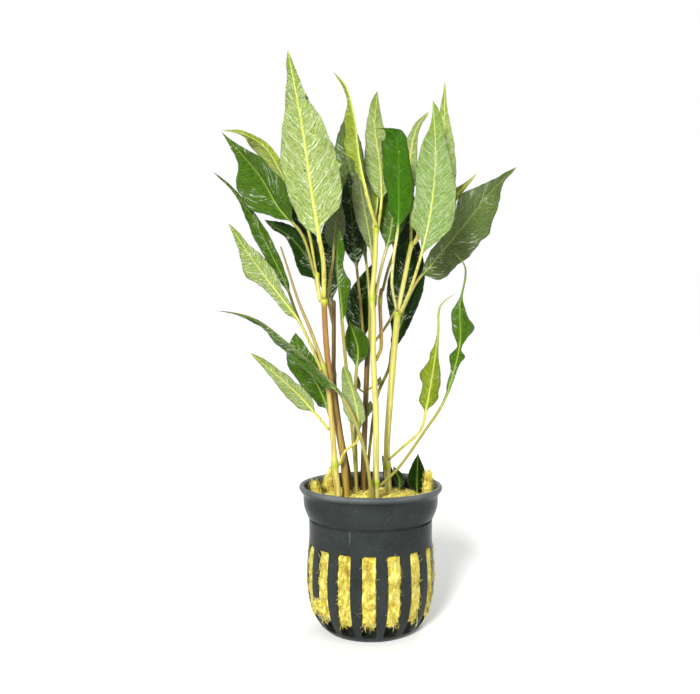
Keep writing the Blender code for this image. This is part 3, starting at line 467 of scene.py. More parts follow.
        route=[(15.5, -5, 132), (19.5, -12, 146.5), (22, -17, 160.5), (23, -22, 177.5),
               (21.5, -27, 195.5)], stalk=25, roll=(185, 185), fold=15, tissue="pale", look="fresh", veins=14,
        rightEdge=[(0.08, 0.8), (0.14, 2.4), (0.2, 6.2), (0.27, 7.5), (0.4, 6.7), (0.48, 6.8),
               (0.56, 7.6), (0.66, 6.2), (0.76, 4.6), (0.84, 1.9), (0.92, 0.5)],
        leftEdge=[(0.05, 1.2), (0.1, 2.9), (0.16, 5.8), (0.22, 8.5), (0.3, 9.3), (0.46, 8.4),
               (0.56, 6.9), (0.7, 4.4), (0.82, 3), (0.94, 1.9)]),
    "leafPaleRightBack": dict(
        on="stemRightTop", at=147.5,
        route=[(21.5, -6, 160), (25.5, -10, 172), (26.5, -14, 188), (26.5, -18, 204.5)], stalk=12,
        roll=(180, 180), fold=15, tissue="pale",
        rightEdge=[(0.1, 2.5), (0.3, 4.5), (0.5, 4), (0.7, 2.6), (0.82, 1.5), (0.92, 0.6)],
        leftEdge=[(0.1, 3), (0.25, 6), (0.36, 6.1), (0.46, 5), (0.58, 4), (0.72, 2.2), (0.83, 0.9),
               (0.94, 0.4)]),
    "leafYoungRight": dict(
        on="stemRightTop", at=148,
        route=[(23, 7, 156.5), (30, 9, 164), (42, 13, 176.5)], stalk=12, roll=(180, 180), fold=20,
        tissue="young",
        rightEdge=[(0.15, 1.5), (0.4, 2.5), (0.6, 2.1), (0.72, 1.2), (0.86, 0.5)],
        leftEdge=[(0.15, 1.5), (0.4, 2.1), (0.58, 1.5), (0.72, 1), (0.86, 0.6)]),
    "leafBroadRight": dict(
        on="stemRight", at=120.5,
        route=[(18, 9, 133.5), (26, 13, 143), (38, 18, 157.5), (47.5, 22, 169.5), (59.5, 27, 181)],
        stalk=17, roll=(-30, -30), fold=15, tissue="olive",
        rightEdge=[(0.07, 6), (0.15, 8.1), (0.27, 9.2), (0.42, 10.4), (0.47, 9.8), (0.53, 10.5),
               (0.62, 8.8), (0.72, 6.2), (0.78, 5.1), (0.83, 2.4), (0.88, 0.9), (0.95, 0.7)],
        leftEdge=[(0.1, 4), (0.3, 6.5), (0.42, 8.4), (0.53, 11.1), (0.6, 10.3), (0.7, 6.5),
               (0.8, 3.8), (0.9, 1.9)]),
    "leafRearRight": dict(
        route=[(-1.5, 16, 51.5), (2.5, 14, 87.5), (7.5, 14, 100), (8.5, 15, 107), (13, 18, 120),
               (15, 21, 134), (18, 26, 156)], stalk=66, roll=(0, 0), fold=15, rooted=True, petiole=0.65,
        tissue="dark",
        rightEdge=[(0.06, 1.9), (0.15, 2.9), (0.28, 4), (0.4, 5.6), (0.5, 6.7), (0.65, 6.5), (0.82, 4)],
        leftEdge=[(0.05, 1.2), (0.12, 2), (0.2, 4.3), (0.3, 6.4), (0.42, 8.2), (0.6, 8), (0.8, 5)]),
    "leafDarkRight": dict(
        on="stemBrown", at=109,
        route=[(6, 12, 116), (10.5, 13, 124.5), (13.5, 16, 138.5), (15, 21, 158)], stalk=16, half=5.3,
        widest=0.45, full=1, taper=1.1, roll=(0, 0), fold=15, tissue="dark"),
    "leafHangingRight": dict(
        on="stemRight", at=64,
        route=[(12.5, 0, 70), (19, -4, 77), (21, -5, 85), (23.5, -5, 99), (25.5, -4, 113),
               (26.5, -2, 124), (33.5, 2, 129.5)], stalk=28, roll=(18, 18), fold=20, tissue="green", look="young",
        rightEdge=[(0.03, 0.8), (0.08, 2.8), (0.14, 4.2), (0.24, 4.1), (0.33, 3.2), (0.42, 1.6),
               (0.52, 0.7), (0.6, 0.45), (0.8, 0.35)],
        leftEdge=[(0.03, 2.2), (0.07, 3.4), (0.17, 3.1), (0.22, 3.5), (0.26, 4.7), (0.31, 4.4),
               (0.35, 3.2), (0.4, 2.2), (0.46, 2), (0.52, 1), (0.6, 0.5), (0.8, 0.35)]),
    "leafTwistedRight": dict(
        on="stemMain", at=56.5,
        route=[(10, -12, 63.5), (19.5, -15, 77.5), (26.3, -17, 88.5), (30.5, -18, 101.5),
               (32.5, -17.5, 111.5), (32.5, -16.5, 124), (34.5, -14, 138), (30.5, -12, 144)], stalk=38,
        roll=(-30, 40), fold=20, tissue="green",
        rightEdge=[(0.1, 0.5), (0.2, 0.9), (0.27, 1.2), (0.32, 2), (0.35, 3), (0.38, 1), (0.42, 1.4),
               (0.46, 3.2), (0.51, 5.8), (0.56, 4), (0.64, 1.8), (0.7, 0.6), (0.85, 0.4)],
        leftEdge=[(0.1, 0.3), (0.17, 1.3), (0.25, 1.3), (0.33, 3), (0.37, 2), (0.4, 0.9), (0.46, 2.4),
               (0.54, 3.2), (0.61, 3.2), (0.66, 1.2), (0.7, 0.5), (0.85, 0.4)]),
    "leafInPotRight": dict(
        route=[(18.3, 7.5, 52), (18.3, 7, 57), (18.6, 6.5, 66.5)], stalk=9, half=4, widest=0.3,
        full=0.5, taper=1.1, roll=(10, 10), fold=15, rooted=True, petiole=0.7, tissue="dark"),
    "leafInPotCentre": dict(
        route=[(11.5, 12, 52), (11.5, 12, 55), (9, 12, 60.5)], stalk=9, half=2.2, widest=0.4, full=0.5,
        taper=1.1, roll=(0, 0), fold=15, rooted=True, petiole=0.7, tissue="dark"),
    "leafInPotBack": dict(
        route=[(7.5, 19, 52.5), (7, 19, 57.5), (4.5, 18, 64)], stalk=9, half=2.2, widest=0.4, full=0.6,
        taper=1.1, roll=(0, 0), fold=15, rooted=True, petiole=0.7, tissue="dark"),
    "leafBehindTall": dict(
        on="stemOlive", at=117,
        route=[(-20.5, 20, 141.5), (-26, 27, 156), (-30, 33, 172.5), (-37, 40, 204)], stalk=31,
        half=6.5, widest=0.45, full=1, taper=1.3, roll=(0, 0), fold=15, tissue="dark"),
    "leafReddish": dict(
        on="stemLeftFront", at=124,
        route=[(-14.5, 0, 141), (-14, 1, 151), (-12, 4, 167)], stalk=22, half=4.5, widest=0.4, full=0.8,
        taper=1.2, roll=(180, 180), fold=20, tissue="olive"),
    "leafBehindBright": dict(
        on="stemMain", at=126,
        route=[(4, -4, 138.5), (7, -2, 150), (8.5, 1, 160.5), (10, 5, 178.5)], stalk=20, half=6,
        widest=0.45, full=0.9, taper=1.2, roll=(0, 0), fold=15, tissue="green"),
    "leafSlenderStem": dict(
        on="stemSlender", at=130,
        route=[(6.5, 5, 137.5), (10, 8, 148), (12.5, 12, 160), (14, 17, 178)], stalk=16, half=6,
        widest=0.4, full=0.9, taper=1.2, roll=(0, 0), fold=15, tissue="dark"),
    "leafletLeft": dict(
        on="stemBrown", at=90,
        route=[(-4.5, 10, 91.5), (-5, 9.5, 96.5)], stalk=2, half=1.4, widest=0.5, full=0.8, taper=1,
        roll=(30, 30), fold=20, petiole=0.4, tissue="olive"),
    "leafletRight": dict(
        on="stemBrown", at=91,
        route=[(2, 10, 93), (4, 9, 96.5)], stalk=2, half=1.4, widest=0.5, full=0.8, taper=1,
        roll=(-30, -30), fold=20, petiole=0.4, tissue="olive"),
    "leafletLow": dict(
        on="stemBrown", at=79,
        route=[(-0.5, 9.5, 82), (0, 8.5, 87)], stalk=2, half=1.4, widest=0.5, full=0.8, taper=1,
        roll=(0, 0), fold=20, petiole=0.4, tissue="olive"),
    "leafArchedCentre": dict(
        on="stemMain", at=146,
        route=[(1.2, -3.6, 155), (2.4, -1.5, 163), (2.2, -0.5, 168), (0.1, -0.5, 172.4),
               (-3.3, -1.5, 175.2), (-6.7, -2.5, 177)], stalk=12, half=2.2, widest=0.4, full=0.9,
        taper=1.2, roll=(150, 150), fold=25, tissue="young"),
}
leafForm = dict(petiole=0.55, sunk=0.35, petioleRows=1.4, bladeRows=0.5, columnEvery=0.5, thickness=0.26,
                ribDepth=0.7, ribRise=0.1, ribWidth=0.72, ribTaper=0.78, veins=10, veinLean=0.8, veinCurve=0.035,
                puff=0.4, crinkle=0.26, wave=0.55, waveLength=12, warp=0.9, ragged=0.32, raggedLength=2.6)


def edgeWidth(points, share):  # a smooth line through an edge's points
    i = max(k for k, point in enumerate(points[:-1]) if point[0] <= share)
    (x1, y1), (x2, y2) = points[i], points[i + 1]
    x0, y0 = points[i - 1] if i else (2 * x1 - x2, 2 * y1 - y2)
    x3, y3 = points[i + 2] if i + 2 < len(points) else (2 * x2 - x1, 2 * y2 - y1)
    span, t = x2 - x1, (share - x1) / (x2 - x1)
    slope1, slope2 = (y2 - y0) / (x2 - x0) * span, (y3 - y1) / (x3 - x1) * span
    return ((2 * t ** 3 - 3 * t ** 2 + 1) * y1 + (t ** 3 - 2 * t ** 2 + t) * slope1
            + (3 * t ** 2 - 2 * t ** 3) * y2 + (t ** 3 - t ** 2) * slope2)


def bladeWidth(leaf, edge, share):  # half width in millimetres on one side
    if share <= 0 or share >= 1:
        return 0
    if edge in leaf:
        return max(edgeWidth([(0, 0)] + leaf[edge] + [(1, 0)], share), 0)
    widest = leaf["widest"]
    if share < widest:
        return leaf["half"] * sin(pi / 2 * share / widest) ** leaf["full"]
    return leaf["half"] * cos(pi / 2 * (share - widest) / (1 - widest)) ** leaf["taper"]


def raggedWidth(leaf, edge, share, distance, seed):  # the same with the uneven margin of a real leaf
    width = bladeWidth(leaf, edge, share)
    spot = Vector((distance / leafForm["raggedLength"], seed, len(edge)))
    uneven = noise.noise(spot) + 0.5 * noise.noise(spot * 2.3)
    return width + leafForm["ragged"] * uneven * min(width / 3, 1)


def leafRoute(leaf):  # starts in the wool, in the top of its stem, or just inside the stem's side
    if leaf.get("rooted"):
        return rootedRoute(leaf["route"])
    if "on" not in leaf:
        return sunkStart(leaf["route"], 2 * leafForm["sunk"])
    centre = min(stemCurve(leaf["on"]), key=lambda point: abs(point.z - leaf["at"]))
    out = Vector((leaf["route"][0][0] - centre.x, leaf["route"][0][1] - centre.y, 0)).normalized()
    reach = stemRadius(leaf["on"], leaf["at"]) + leaf.get("petiole", leafForm["petiole"]) - leafForm["sunk"]
    return [tuple(centre + out * reach)] + leaf["route"]


def leafRings(leaf, curve, stalkRows, bladeRows, radius, seed):  # what is the same all across each row
    lengths = lengthsAlong(curve)
    whole, stalk = lengths[-1], leaf["stalk"]
    blade = whole - stalk
    rings = []
    for row in range(stalkRows + bladeRows + 1):
        if row < stalkRows:
            distance = stalk * row / stalkRows
        else:
            distance = stalk + blade * (row - stalkRows) / bladeRows
        centre, tangent = pointAt(curve, lengths, distance)
        share = (distance - stalk) / blade
        roll = leaf["roll"][0] + (leaf["roll"][1] - leaf["roll"][0]) * distance / whole
        wide, face = acrossRoute(tangent, roll)
        rest = 1 - max(share, 0) if share < 1 else 0
        rings.append(dict(
            centre=centre, wide=wide, face=face, share=share, distance=distance - stalk,
            right=max(raggedWidth(leaf, "rightEdge", share, distance, seed), radius * rest),
            left=max(raggedWidth(leaf, "leftEdge", share, distance, seed), radius * rest),
            flat=smoothStep(0, min(5 / blade, 0.3), share),
            fold=radians(leaf["fold"]) * min(max(share * 8, 0), 1),
            ribWide=radius * leafForm["ribWidth"] * (1 - leafForm["ribTaper"] * max(share, 0)),
            thin=min(rest * 6, 1)))
    return rings


def addLeaf(name):
    leaf = leaves[name]
    curve = smoothRoute(leafRoute(leaf))
    stalk, blade = leaf["stalk"], lengthsAlong(curve)[-1] - leaf["stalk"]
    radius = leaf.get("petiole", leafForm["petiole"])
    stalkRows = max(4, round(stalk / leafForm["petioleRows"]))
    bladeRows = max(16, round(blade / leafForm["bladeRows"]))
    widest = max(bladeWidth(leaf, edge, k / 20) for edge in ("rightEdge", "leftEdge") for k in range(1, 20))
    columns = 4 * max(8, round(widest / leafForm["columnEvery"]))
    spacing = max(blade / leaf.get("veins", leafForm["veins"]), 1.6)
    seed = sum(ord(letter) for letter in name) % 97
    rings = leafRings(leaf, curve, stalkRows, bladeRows, radius, seed)

    def placePoint(column, row):
        ring = rings[row]
        angle = tau * column / columns
        upper = column <= columns / 2
        side = 0 if 0 < column < columns / 2 else 1  # the margin takes the paler side's colour
        t = 1 - 4 * column / columns if upper else 4 * column / columns - 3
        across = t * (0.55 + 0.45 * abs(t))
        x, far = across * (ring["right"] if across > 0 else ring["left"]), abs(across)
        stalkPoint = (ring["wide"] * cos(angle) + ring["face"] * sin(angle)) * radius
        if ring["share"] <= 0:
            place = (radius * cos(angle), ring["distance"] / spacing, side)
            return ring["centre"] + stalkPoint, place, (cos(angle), ring["share"], 1)
        along = ring["distance"] - leafForm["veinLean"] * abs(x) - leafForm["veinCurve"] * x * x
        along += 0.12 * spacing * noise.noise(Vector((x * 0.25, ring["distance"] * 0.25, seed)))
        phase = along / spacing + (0.4 if across < 0 else 0)
        body = (1 - far ** 6) * min(abs(x) / 1.2, 1) * ring["flat"]
        width = abs(x) / max(far, 0.001)
        loose = min(width / 4, 1)
        lift = width * sin(ring["fold"]) * far * (1.35 - 0.35 * far)
        lift += leafForm["puff"] * (abs(sin(pi * phase)) - 0.5) * body * min(spacing / 5, 1)
        lift += leafForm["crinkle"] * noise.noise(Vector((abs(x) * 0.5, along * 1.25, seed + side * 0.3))) * body
        turns = tau * ring["distance"] / leafForm["waveLength"] + seed + (1.7 if across < 0 else 0)
        lift += leafForm["wave"] * across * across * loose * sin(turns)
        lift += leafForm["warp"] * noise.noise(Vector((x, ring["distance"], seed * 3)) * 0.12) * loose * far
        rib = exp(-(x / ring["ribWide"]) ** 2)
        skin = leafForm["thickness"] / 2 * sqrt(max(1 - far ** 8, 0)) * ring["thin"]
        if upper:
            lift += skin + leafForm["ribRise"] * rib * ring["thin"]
        else:
            lift -= skin + leafForm["ribDepth"] * (1 - 0.75 * ring["share"]) * rib * ring["thin"]
        bladePoint = ring["wide"] * x * cos(ring["fold"]) + ring["face"] * lift
        point = ring["centre"] + stalkPoint.lerp(bladePoint, ring["flat"])
        return point, (x, phase, side), (across, ring["share"], rib)

    return wrappedSkin(name, columns, stalkRows + bladeRows, placePoint)


# Leaf blades: thin living tissue with a waxy skin. The upper side is deep green and glossy, the underside
# paler, with a silvery net and raised veins. Sharp white glints are painted on both sides where they pucker
# between the veins. Each colour list runs from the hollows, darker as painted shade, to a pale colour that is
# painted sheen on the crests and the true colour of veins and net, and tip is the colour towards the tip
tissues = {
    "pale": dict(upper=("#1f400c", "#35601a", "#6b8c40"), under=("#64862a", "#a0b450", "#f8fce8"),
                 tip="#78942a", upperRib="#8ea04c", underRib="#ccce54", petiole="#b0ac50"),
    "fresh": dict(upper=("#1f400c", "#35601a", "#6b8c40"), under=("#547a28", "#90ae4e", "#f2fade"),
                  tip="#84a032", upperRib="#8ea04c", underRib="#ccd066", petiole="#b8b45a"),
    "young": dict(upper=("#5c7410", "#86981c", "#bccc50"), under=("#66800e", "#94a82c", "#d2dc80"),
                  tip="#869a20", upperRib="#bcc05c", underRib="#c2c45c", petiole="#b0ac50"),
    "green": dict(upper=("#244604", "#4a7208", "#7c9c34"), under=("#3c6220", "#648838", "#aec284"),
                  tip="#46690e", upperRib="#8ca040", underRib="#a8ae56", petiole="#86803c"),
    "bright": dict(upper=("#2a5202", "#3d7001", "#548a0a"), under=("#486e1e", "#688636", "#98aa60"),
                   tip="#234c04", upperRib="#47780c", underRib="#a8ac58", petiole="#bcba74"),
    "dark": dict(upper=("#0a2002", "#1c3c05", "#365a10"), under=("#34501e", "#536e36", "#7e945c"),
                 tip="#22400a", upperRib="#5c7024", underRib="#8c9048", petiole="#6c6026"),
    "olive": dict(upper=("#40551e", "#617638", "#94a468"), under=("#546634", "#7c8c56", "#b4be8e"),
                  tip="#4e602a", upperRib="#8c984a", underRib="#9aa050", petiole="#86803c"),
}
bladeDetail = dict(petioleStreak=(0.5, 7.0), petioleDark="#74702a", veinWidth=0.045, crinkleAlong=0.7, crinkleAcross=8.0, netAcross=1.0, netAlong=7.0, netWidth=0.12,
                   patch=8.0, grain=0.45, bumpDepth=0.3, upperRoughness=0.16, underRoughness=0.24, specular=0.32)
# The third share on each side is a painted sheen on the wrinkle crests; the vein and net shares are the true paler
# colour
bladeSides = dict(upper=dict(vein=0.3, net=0.12, paintedSheen=0.2), under=dict(vein=0.5, net=0.2, paintedSheen=0.5))
# Dark spots on the tall leaf: x, z and radius
bladeSpots = dict(tissue="pale", colour="#2a3410", spots=[(-22, 195.5, 0.85), (-23.6, 172.3, 0.5)])
# Painted highlights: the pale colour of the painted glint strokes, their size and patches, and the share each tissue
# takes
bladePaintedGlint = dict(colour="#e6eed8", along=0.36, across=9.0, patch=9.0,
                  shares=dict(pale=0.32, fresh=0.45, young=0.3, green=0.66, bright=0.06, dark=0.85, olive=0.55))


def leafTissue(name):
    tissue = tissues[name]
    material, shader = newMaterial("leaf" + name.title())
    place = addNode(material, "ShaderNodeAttribute", attribute_name="place")["Vector"]
    place = addNode(material, "ShaderNodeSeparateXYZ", {"Vector": place})
    form = addNode(material, "ShaderNodeAttribute", attribute_name="form")["Vector"]
    form = addNode(material, "ShaderNodeSeparateXYZ", {"Vector": form})
    coords = addNode(material, "ShaderNodeTexCoord")["Object"]
    fromRib = addNode(material, "ShaderNodeMath", {0: place["X"]}, operation="ABSOLUTE")[0]
    side = addNode(material, "ShaderNodeMath", {0: place["Z"], 1: 20.0}, operation="MULTIPLY")[0]
    toVein = addNode(material, "ShaderNodeMath", {0: place["Y"], 1: 0.5}, operation="PINGPONG")[0]
    vein = addNode(material, "ShaderNodeMapRange", {"Value": toVein, "From Max": bladeDetail["veinWidth"],
                   "To Min": 1.0, "To Max": 0.0}, interpolation_type="SMOOTHSTEP")["Result"]
    # Fine wrinkles run along the side veins, and the net of small veins lies between them
    along = addNode(material, "ShaderNodeMath", {0: fromRib, 1: bladeDetail["crinkleAlong"]}, operation="MULTIPLY")[0]
    over = addNode(material, "ShaderNodeMath", {0: place["Y"], 1: bladeDetail["crinkleAcross"]},
                   operation="MULTIPLY")[0]
    lines = addNode(material, "ShaderNodeCombineXYZ", {"X": along, "Y": over, "Z": side})[0]
    crinkle = addNode(material, "ShaderNodeTexNoise", {"Vector": lines, "Scale": 1.0, "Detail": 4.0,
                      "Roughness": 0.65, "Distortion": 0.6})["Fac"]
    along = addNode(material, "ShaderNodeMath", {0: fromRib, 1: bladeDetail["netAcross"]}, operation="MULTIPLY")[0]
    over = addNode(material, "ShaderNodeMath", {0: place["Y"], 1: bladeDetail["netAlong"]}, operation="MULTIPLY")[0]
    cells = addNode(material, "ShaderNodeCombineXYZ", {"X": along, "Y": over, "Z": side})[0]
    net = addNode(material, "ShaderNodeTexVoronoi", {"Vector": cells, "Scale": 1.0},
                  feature="DISTANCE_TO_EDGE")["Distance"]
    net = addNode(material, "ShaderNodeMapRange", {"Value": net, "From Max": bladeDetail["netWidth"],
                  "To Min": 1.0, "To Max": 0.0}, interpolation_type="SMOOTHSTEP")["Result"]
    patch = addNode(material, "ShaderNodeTexNoise", {"Vector": coords, "Scale": 1 / (bladeDetail["patch"] * mm),
                    "Detail": 3.0, "Roughness": 0.6})["Fac"]
    grain = addNode(material, "ShaderNodeTexNoise", {"Vector": coords, "Scale": 1 / (bladeDetail["grain"] * mm),
                    "Detail": 2.0})["Fac"]
    # Painted shade: the hollows of the wrinkles take each list's darker colour; the same mask shapes the bump
    shadedHollow = addNode(material, "ShaderNodeMapRange", {"Value": crinkle, "From Min": 0.36, "From Max": 0.56},
                     interpolation_type="SMOOTHSTEP")["Result"]
    crest = addNode(material, "ShaderNodeMapRange", {"Value": crinkle, "From Min": 0.5, "From Max": 0.68},
                    interpolation_type="SMOOTHSTEP")["Result"]
    # Painted sheen: the crests of the wrinkles take the pale colour where these sheen patches fall
    sheen = addNode(material, "ShaderNodeMapRange", {"Value": patch, "From Min": 0.38, "From Max": 0.62},
                    interpolation_type="SMOOTHSTEP")["Result"]
    paintedSheen = addNode(material, "ShaderNodeMath", {0: crest, 1: sheen}, operation="MULTIPLY")[0]
    # Painted highlights: glints are painted as short pale strokes on the crests of the puckers, and they come in
    # patches
    along = addNode(material, "ShaderNodeMath", {0: fromRib, 1: bladePaintedGlint["along"]}, operation="MULTIPLY")[0]
    over = addNode(material, "ShaderNodeMath", {0: place["Y"], 1: bladePaintedGlint["across"]}, operation="MULTIPLY")[0]
    strokes = addNode(material, "ShaderNodeCombineXYZ", {"X": along, "Y": over, "Z": side})[0]
    strokes = addNode(material, "ShaderNodeTexNoise", {"Vector": strokes, "Scale": 1.0, "Detail": 2.0,
                      "Distortion": 0.9})["Fac"]
    strokes = addNode(material, "ShaderNodeMapRange", {"Value": strokes, "From Min": 0.57, "From Max": 0.64},
                      interpolation_type="SMOOTHSTEP")["Result"]
    spots = addNode(material, "ShaderNodeTexNoise", {"Vector": coords, "Scale": 1 / (bladePaintedGlint["patch"] * mm),
                    "Detail": 1.0})["Fac"]
    spots = addNode(material, "ShaderNodeMapRange", {"Value": spots, "From Min": 0.48, "From Max": 0.6},
                    interpolation_type="SMOOTHSTEP")["Result"]
    paintedGlint = addNode(material, "ShaderNodeMath", {0: strokes, 1: spots}, operation="MULTIPLY")[0]
    tip = addNode(material, "ShaderNodeMapRange", {"Value": form["Y"], "From Min": 0.68, "From Max": 0.95},
                  interpolation_type="SMOOTHSTEP")["Result"]
    tip = addNode(material, "ShaderNodeMath", {0: tip, 1: 0.75}, operation="MULTIPLY")[0]
    colours = []
    for face, shares in bladeSides.items():
        low, middle, high = [hexColour(code) for code in tissue[face]]
        colour = addNode(material, "ShaderNodeMix", {0: shadedHollow, 6: low, 7: middle}, data_type="RGBA")[2]
        for mask, share in ((paintedSheen, shares["paintedSheen"]), (net, shares["net"]), (vein, shares["vein"])):
            share = addNode(material, "ShaderNodeMath", {0: mask, 1: share}, operation="MULTIPLY")[0]
            colour = addNode(material, "ShaderNodeMix", {0: share, 6: colour, 7: high}, data_type="RGBA")[2]
        colour = addNode(material, "ShaderNodeMix", {0: tip, 6: colour, 7: hexColour(tissue["tip"])},
                         data_type="RGBA")[2]
        share = addNode(material, "ShaderNodeMath", {0: paintedGlint, 1: bladePaintedGlint["shares"][name]}, operation="MULTIPLY")[0]
        colour = addNode(material, "ShaderNodeMix", {0: share, 6: colour, 7: hexColour(bladePaintedGlint["colour"])},
                         data_type="RGBA")[2]
        rib = addNode(material, "ShaderNodeMix", {0: form["Z"], 6: colour, 7: hexColour(tissue[face + "Rib"])},
                      data_type="RGBA")[2]
        colours.append(rib)
    colour = addNode(material, "ShaderNodeMix", {0: place["Z"], 6: colours[0], 7: colours[1]}, data_type="RGBA")[2]
    for x, z, radius in bladeSpots["spots"] if name == bladeSpots["tissue"] else []:
        flatCoords = addNode(material, "ShaderNodeMapping", {"Vector": coords, "Scale": (1.0, 0.0, 1.0)})[0]
        apart = addNode(material, "ShaderNodeVectorMath", {0: flatCoords, 1: (x * mm, 0, z * mm)},
                        operation="DISTANCE")["Value"]
        spot = addNode(material, "ShaderNodeMapRange", {"Value": apart, "From Min": radius * 0.6 * mm,
                       "From Max": radius * mm, "To Min": 0.85, "To Max": 0.0})["Result"]
        colour = addNode(material, "ShaderNodeMix", {0: spot, 6: colour, 7: hexColour(bladeSpots["colour"])},
                         data_type="RGBA")[2]
    stalk = addNode(material, "ShaderNodeMapRange", {"Value": form["Y"], "From Min": -0.02, "From Max": 0.1,
                    "To Min": 1.0, "To Max": 0.0})["Result"]
    stalk = addNode(material, "ShaderNodeMath", {0: stalk, 1: form["Z"]}, operation="MULTIPLY")[0]
    wide, long = [1 / (size * mm) for size in bladeDetail["petioleStreak"]]
    streak = addNode(material, "ShaderNodeMapping", {"Vector": coords, "Scale": (wide, wide, long)})[0]
    streak = addNode(material, "ShaderNodeTexNoise", {"Vector": streak, "Scale": 1.0, "Detail": 3.0})["Fac"]
    streak = addNode(material, "ShaderNodeMapRange", {"Value": streak, "From Min": 0.46, "From Max": 0.64,
                     "To Max": 0.7})["Result"]
    streak = addNode(material, "ShaderNodeMix", {0: streak, 6: hexColour(tissue["petiole"]),
                     7: hexColour(bladeDetail["petioleDark"])}, data_type="RGBA")[2]
    colour = addNode(material, "ShaderNodeMix", {0: stalk, 6: colour, 7: streak}, data_type="RGBA")[2]
    height = addNode(material, "ShaderNodeMath", {0: crest, 1: shadedHollow}, operation="ADD")[0]
    height = addNode(material, "ShaderNodeMath", {0: net, 1: 0.15, 2: height}, operation="MULTIPLY_ADD")[0]
    height = addNode(material, "ShaderNodeMath", {0: grain, 1: 0.6, 2: height}, operation="MULTIPLY_ADD")[0]
    flat = addNode(material, "ShaderNodeMath", {0: 1.0, 1: form["Z"]}, operation="SUBTRACT")[0]
    height = addNode(material, "ShaderNodeMath", {0: height, 1: flat}, operation="MULTIPLY")[0]
    roughness = addNode(material, "ShaderNodeMapRange", {
        "Value": place["Z"], "To Min": bladeDetail["upperRoughness"],
        "To Max": bladeDetail["underRoughness"]})["Result"]
    setShader(material, shader, {"Base Color": colour, "Roughness": roughness,
              "Specular IOR Level": bladeDetail["specular"]}, height, bladeDetail["bumpDepth"])
    return material


# Stems: soft green wood under a smooth skin, with fine lengthwise streaks and brighter swollen nodes
stemSkins = {
    "yellow": dict(low="#bcb46c", high="#aaa54c", streak="#8f8c3e", node="#8f9a16"),
    "leaning": dict(low="#c4b75c", high="#6c5c2c", streak="#8a6a3a", node="#8f9a20"),
    "tan": dict(low="#94822e", high="#8c6438", streak="#74502c", node="#a4a22a"),
    "brown": dict(low="#6e5426", high="#5c4620", streak="#34260f", node="#747028"),
}
stemKinds = {"stemLeft": "leaning", "stemLeftFront": "tan", "stemBrown": "brown", "stemOlive": "brown",
             "stemSlender": "tan"}
stemDetail = dict(streakLength=12.0, streakWidth=0.5, bumpDepth=0.06, roughness=0.4, specular=0.35)


def stemSkin(name):
    colours = {key: hexColour(value) for key, value in stemSkins[name].items()}
    material, shader = newMaterial("stem" + name.title())
    place = addNode(material, "ShaderNodeAttribute", attribute_name="place")["Vector"]
    place = addNode(material, "ShaderNodeSeparateXYZ", {"Vector": place})
    form = addNode(material, "ShaderNodeAttribute", attribute_name="form")["Vector"]
    form = addNode(material, "ShaderNodeSeparateXYZ", {"Vector": form})
    coords = addNode(material, "ShaderNodeTexCoord")["Object"]
    wide, long = 1 / (stemDetail["streakWidth"] * mm), 1 / (stemDetail["streakLength"] * mm)
    coords = addNode(material, "ShaderNodeMapping", {"Vector": coords, "Scale": (wide, wide, long)})[0]
    streak = addNode(material, "ShaderNodeTexNoise", {"Vector": coords, "Scale": 1.0, "Detail": 3.0})["Fac"]
    lines = addNode(material, "ShaderNodeMapRange", {"Value": streak, "From Min": 0.45, "From Max": 0.64,
                    "To Max": 0.75})["Result"]
    colour = addNode(material, "ShaderNodeMix", {0: form["Y"], 6: colours["low"], 7: colours["high"]},
                     data_type="RGBA")[2]
    colour = addNode(material, "ShaderNodeMix", {0: lines, 6: colour, 7: colours["streak"]}, data_type="RGBA")[2]
    colour = addNode(material, "ShaderNodeMix", {0: place["Z"], 6: colour, 7: colours["node"]},
                     data_type="RGBA")[2]
    setShader(material, shader, {"Base Color": colour, "Roughness": stemDetail["roughness"],
              "Specular IOR Level": stemDetail["specular"]}, streak, stemDetail["bumpDepth"])
    return material


# Net pot: injection-moulded polypropylene, charcoal with a satin skin that greys where light grazes it
pot = dict(
    outside=[(17, 0), (18.9, 1.6), (20.9, 4.4), (22.6, 7.8), (23.8, 12.2), (24.5, 18), (24.4, 26), (23.7, 35),
             (23.7, 42.4)],
    groove=[(23.1, 42.8), (23.1, 43.3), (24.15, 43.5)],
    collar=[(24.4, 44.1), (24.95, 45.4), (25.7, 47.9), (25.9, 51.6)],
    rim=[(26.2, 52.6), (26.9, 53.3), (27.4, 54.1), (27.45, 54.9), (27.0, 55.5), (26.3, 55.6), (25.7, 55.2)],
    inside=[(25.0, 53.4), (24.6, 47.4), (23.4, 43.6), (22.6, 38), (23.2, 27), (23.3, 18), (22.6, 12.2),
            (20.2, 5.8), (17.8, 2.5), (16.2, 1.3)],
    steps=256, slots=16, slotWidth=5.3, slotBottom=2.3, slotTop=33.6, slotTurn=-1.3, slotReach=(14, 30),
    slotCorner=0.7)


def curveOf(profile, steps=6):  # a smooth line through (radius, height) points
    return [(point.x, point.z) for point in smoothRoute([(r, 0, z) for r, z in profile], steps)]


def potProfile():
    return ([(0, 0)] + curveOf(pot["outside"]) + pot["groove"] + curveOf(pot["collar"])
            + curveOf(pot["rim"]) + curveOf(pot["inside"]) + [(0, 1.3)])


def spinProfile(bm, profile, steps):
    verts = [bm.verts.new((r, 0, z)) for r, z in profile]
    edges = [bm.edges.new(pair) for pair in zip(verts, verts[1:])]
    bmesh.ops.spin(bm, geom=verts + edges, cent=(0, 0, 0), axis=(0, 0, 1), dvec=(0, 0, 0), angle=tau,
                   steps=steps, use_merge=True, use_duplicate=False)
    bmesh.ops.remove_doubles(bm, verts=bm.verts, dist=0.0005)
    bmesh.ops.recalc_face_normals(bm, faces=bm.faces)


def applied(piece):  # the piece with its modifiers made part of its mesh
    bpy.context.view_layer.update()
    mesh = bpy.data.meshes.new_from_object(piece.evaluated_get(bpy.context.evaluated_depsgraph_get()))
    piece.modifiers.clear()
    piece.data = mesh
    return piece


def slotTurn(i):
    return radians(pot["slotTurn"] - 90 + 360 * i / pot["slots"])


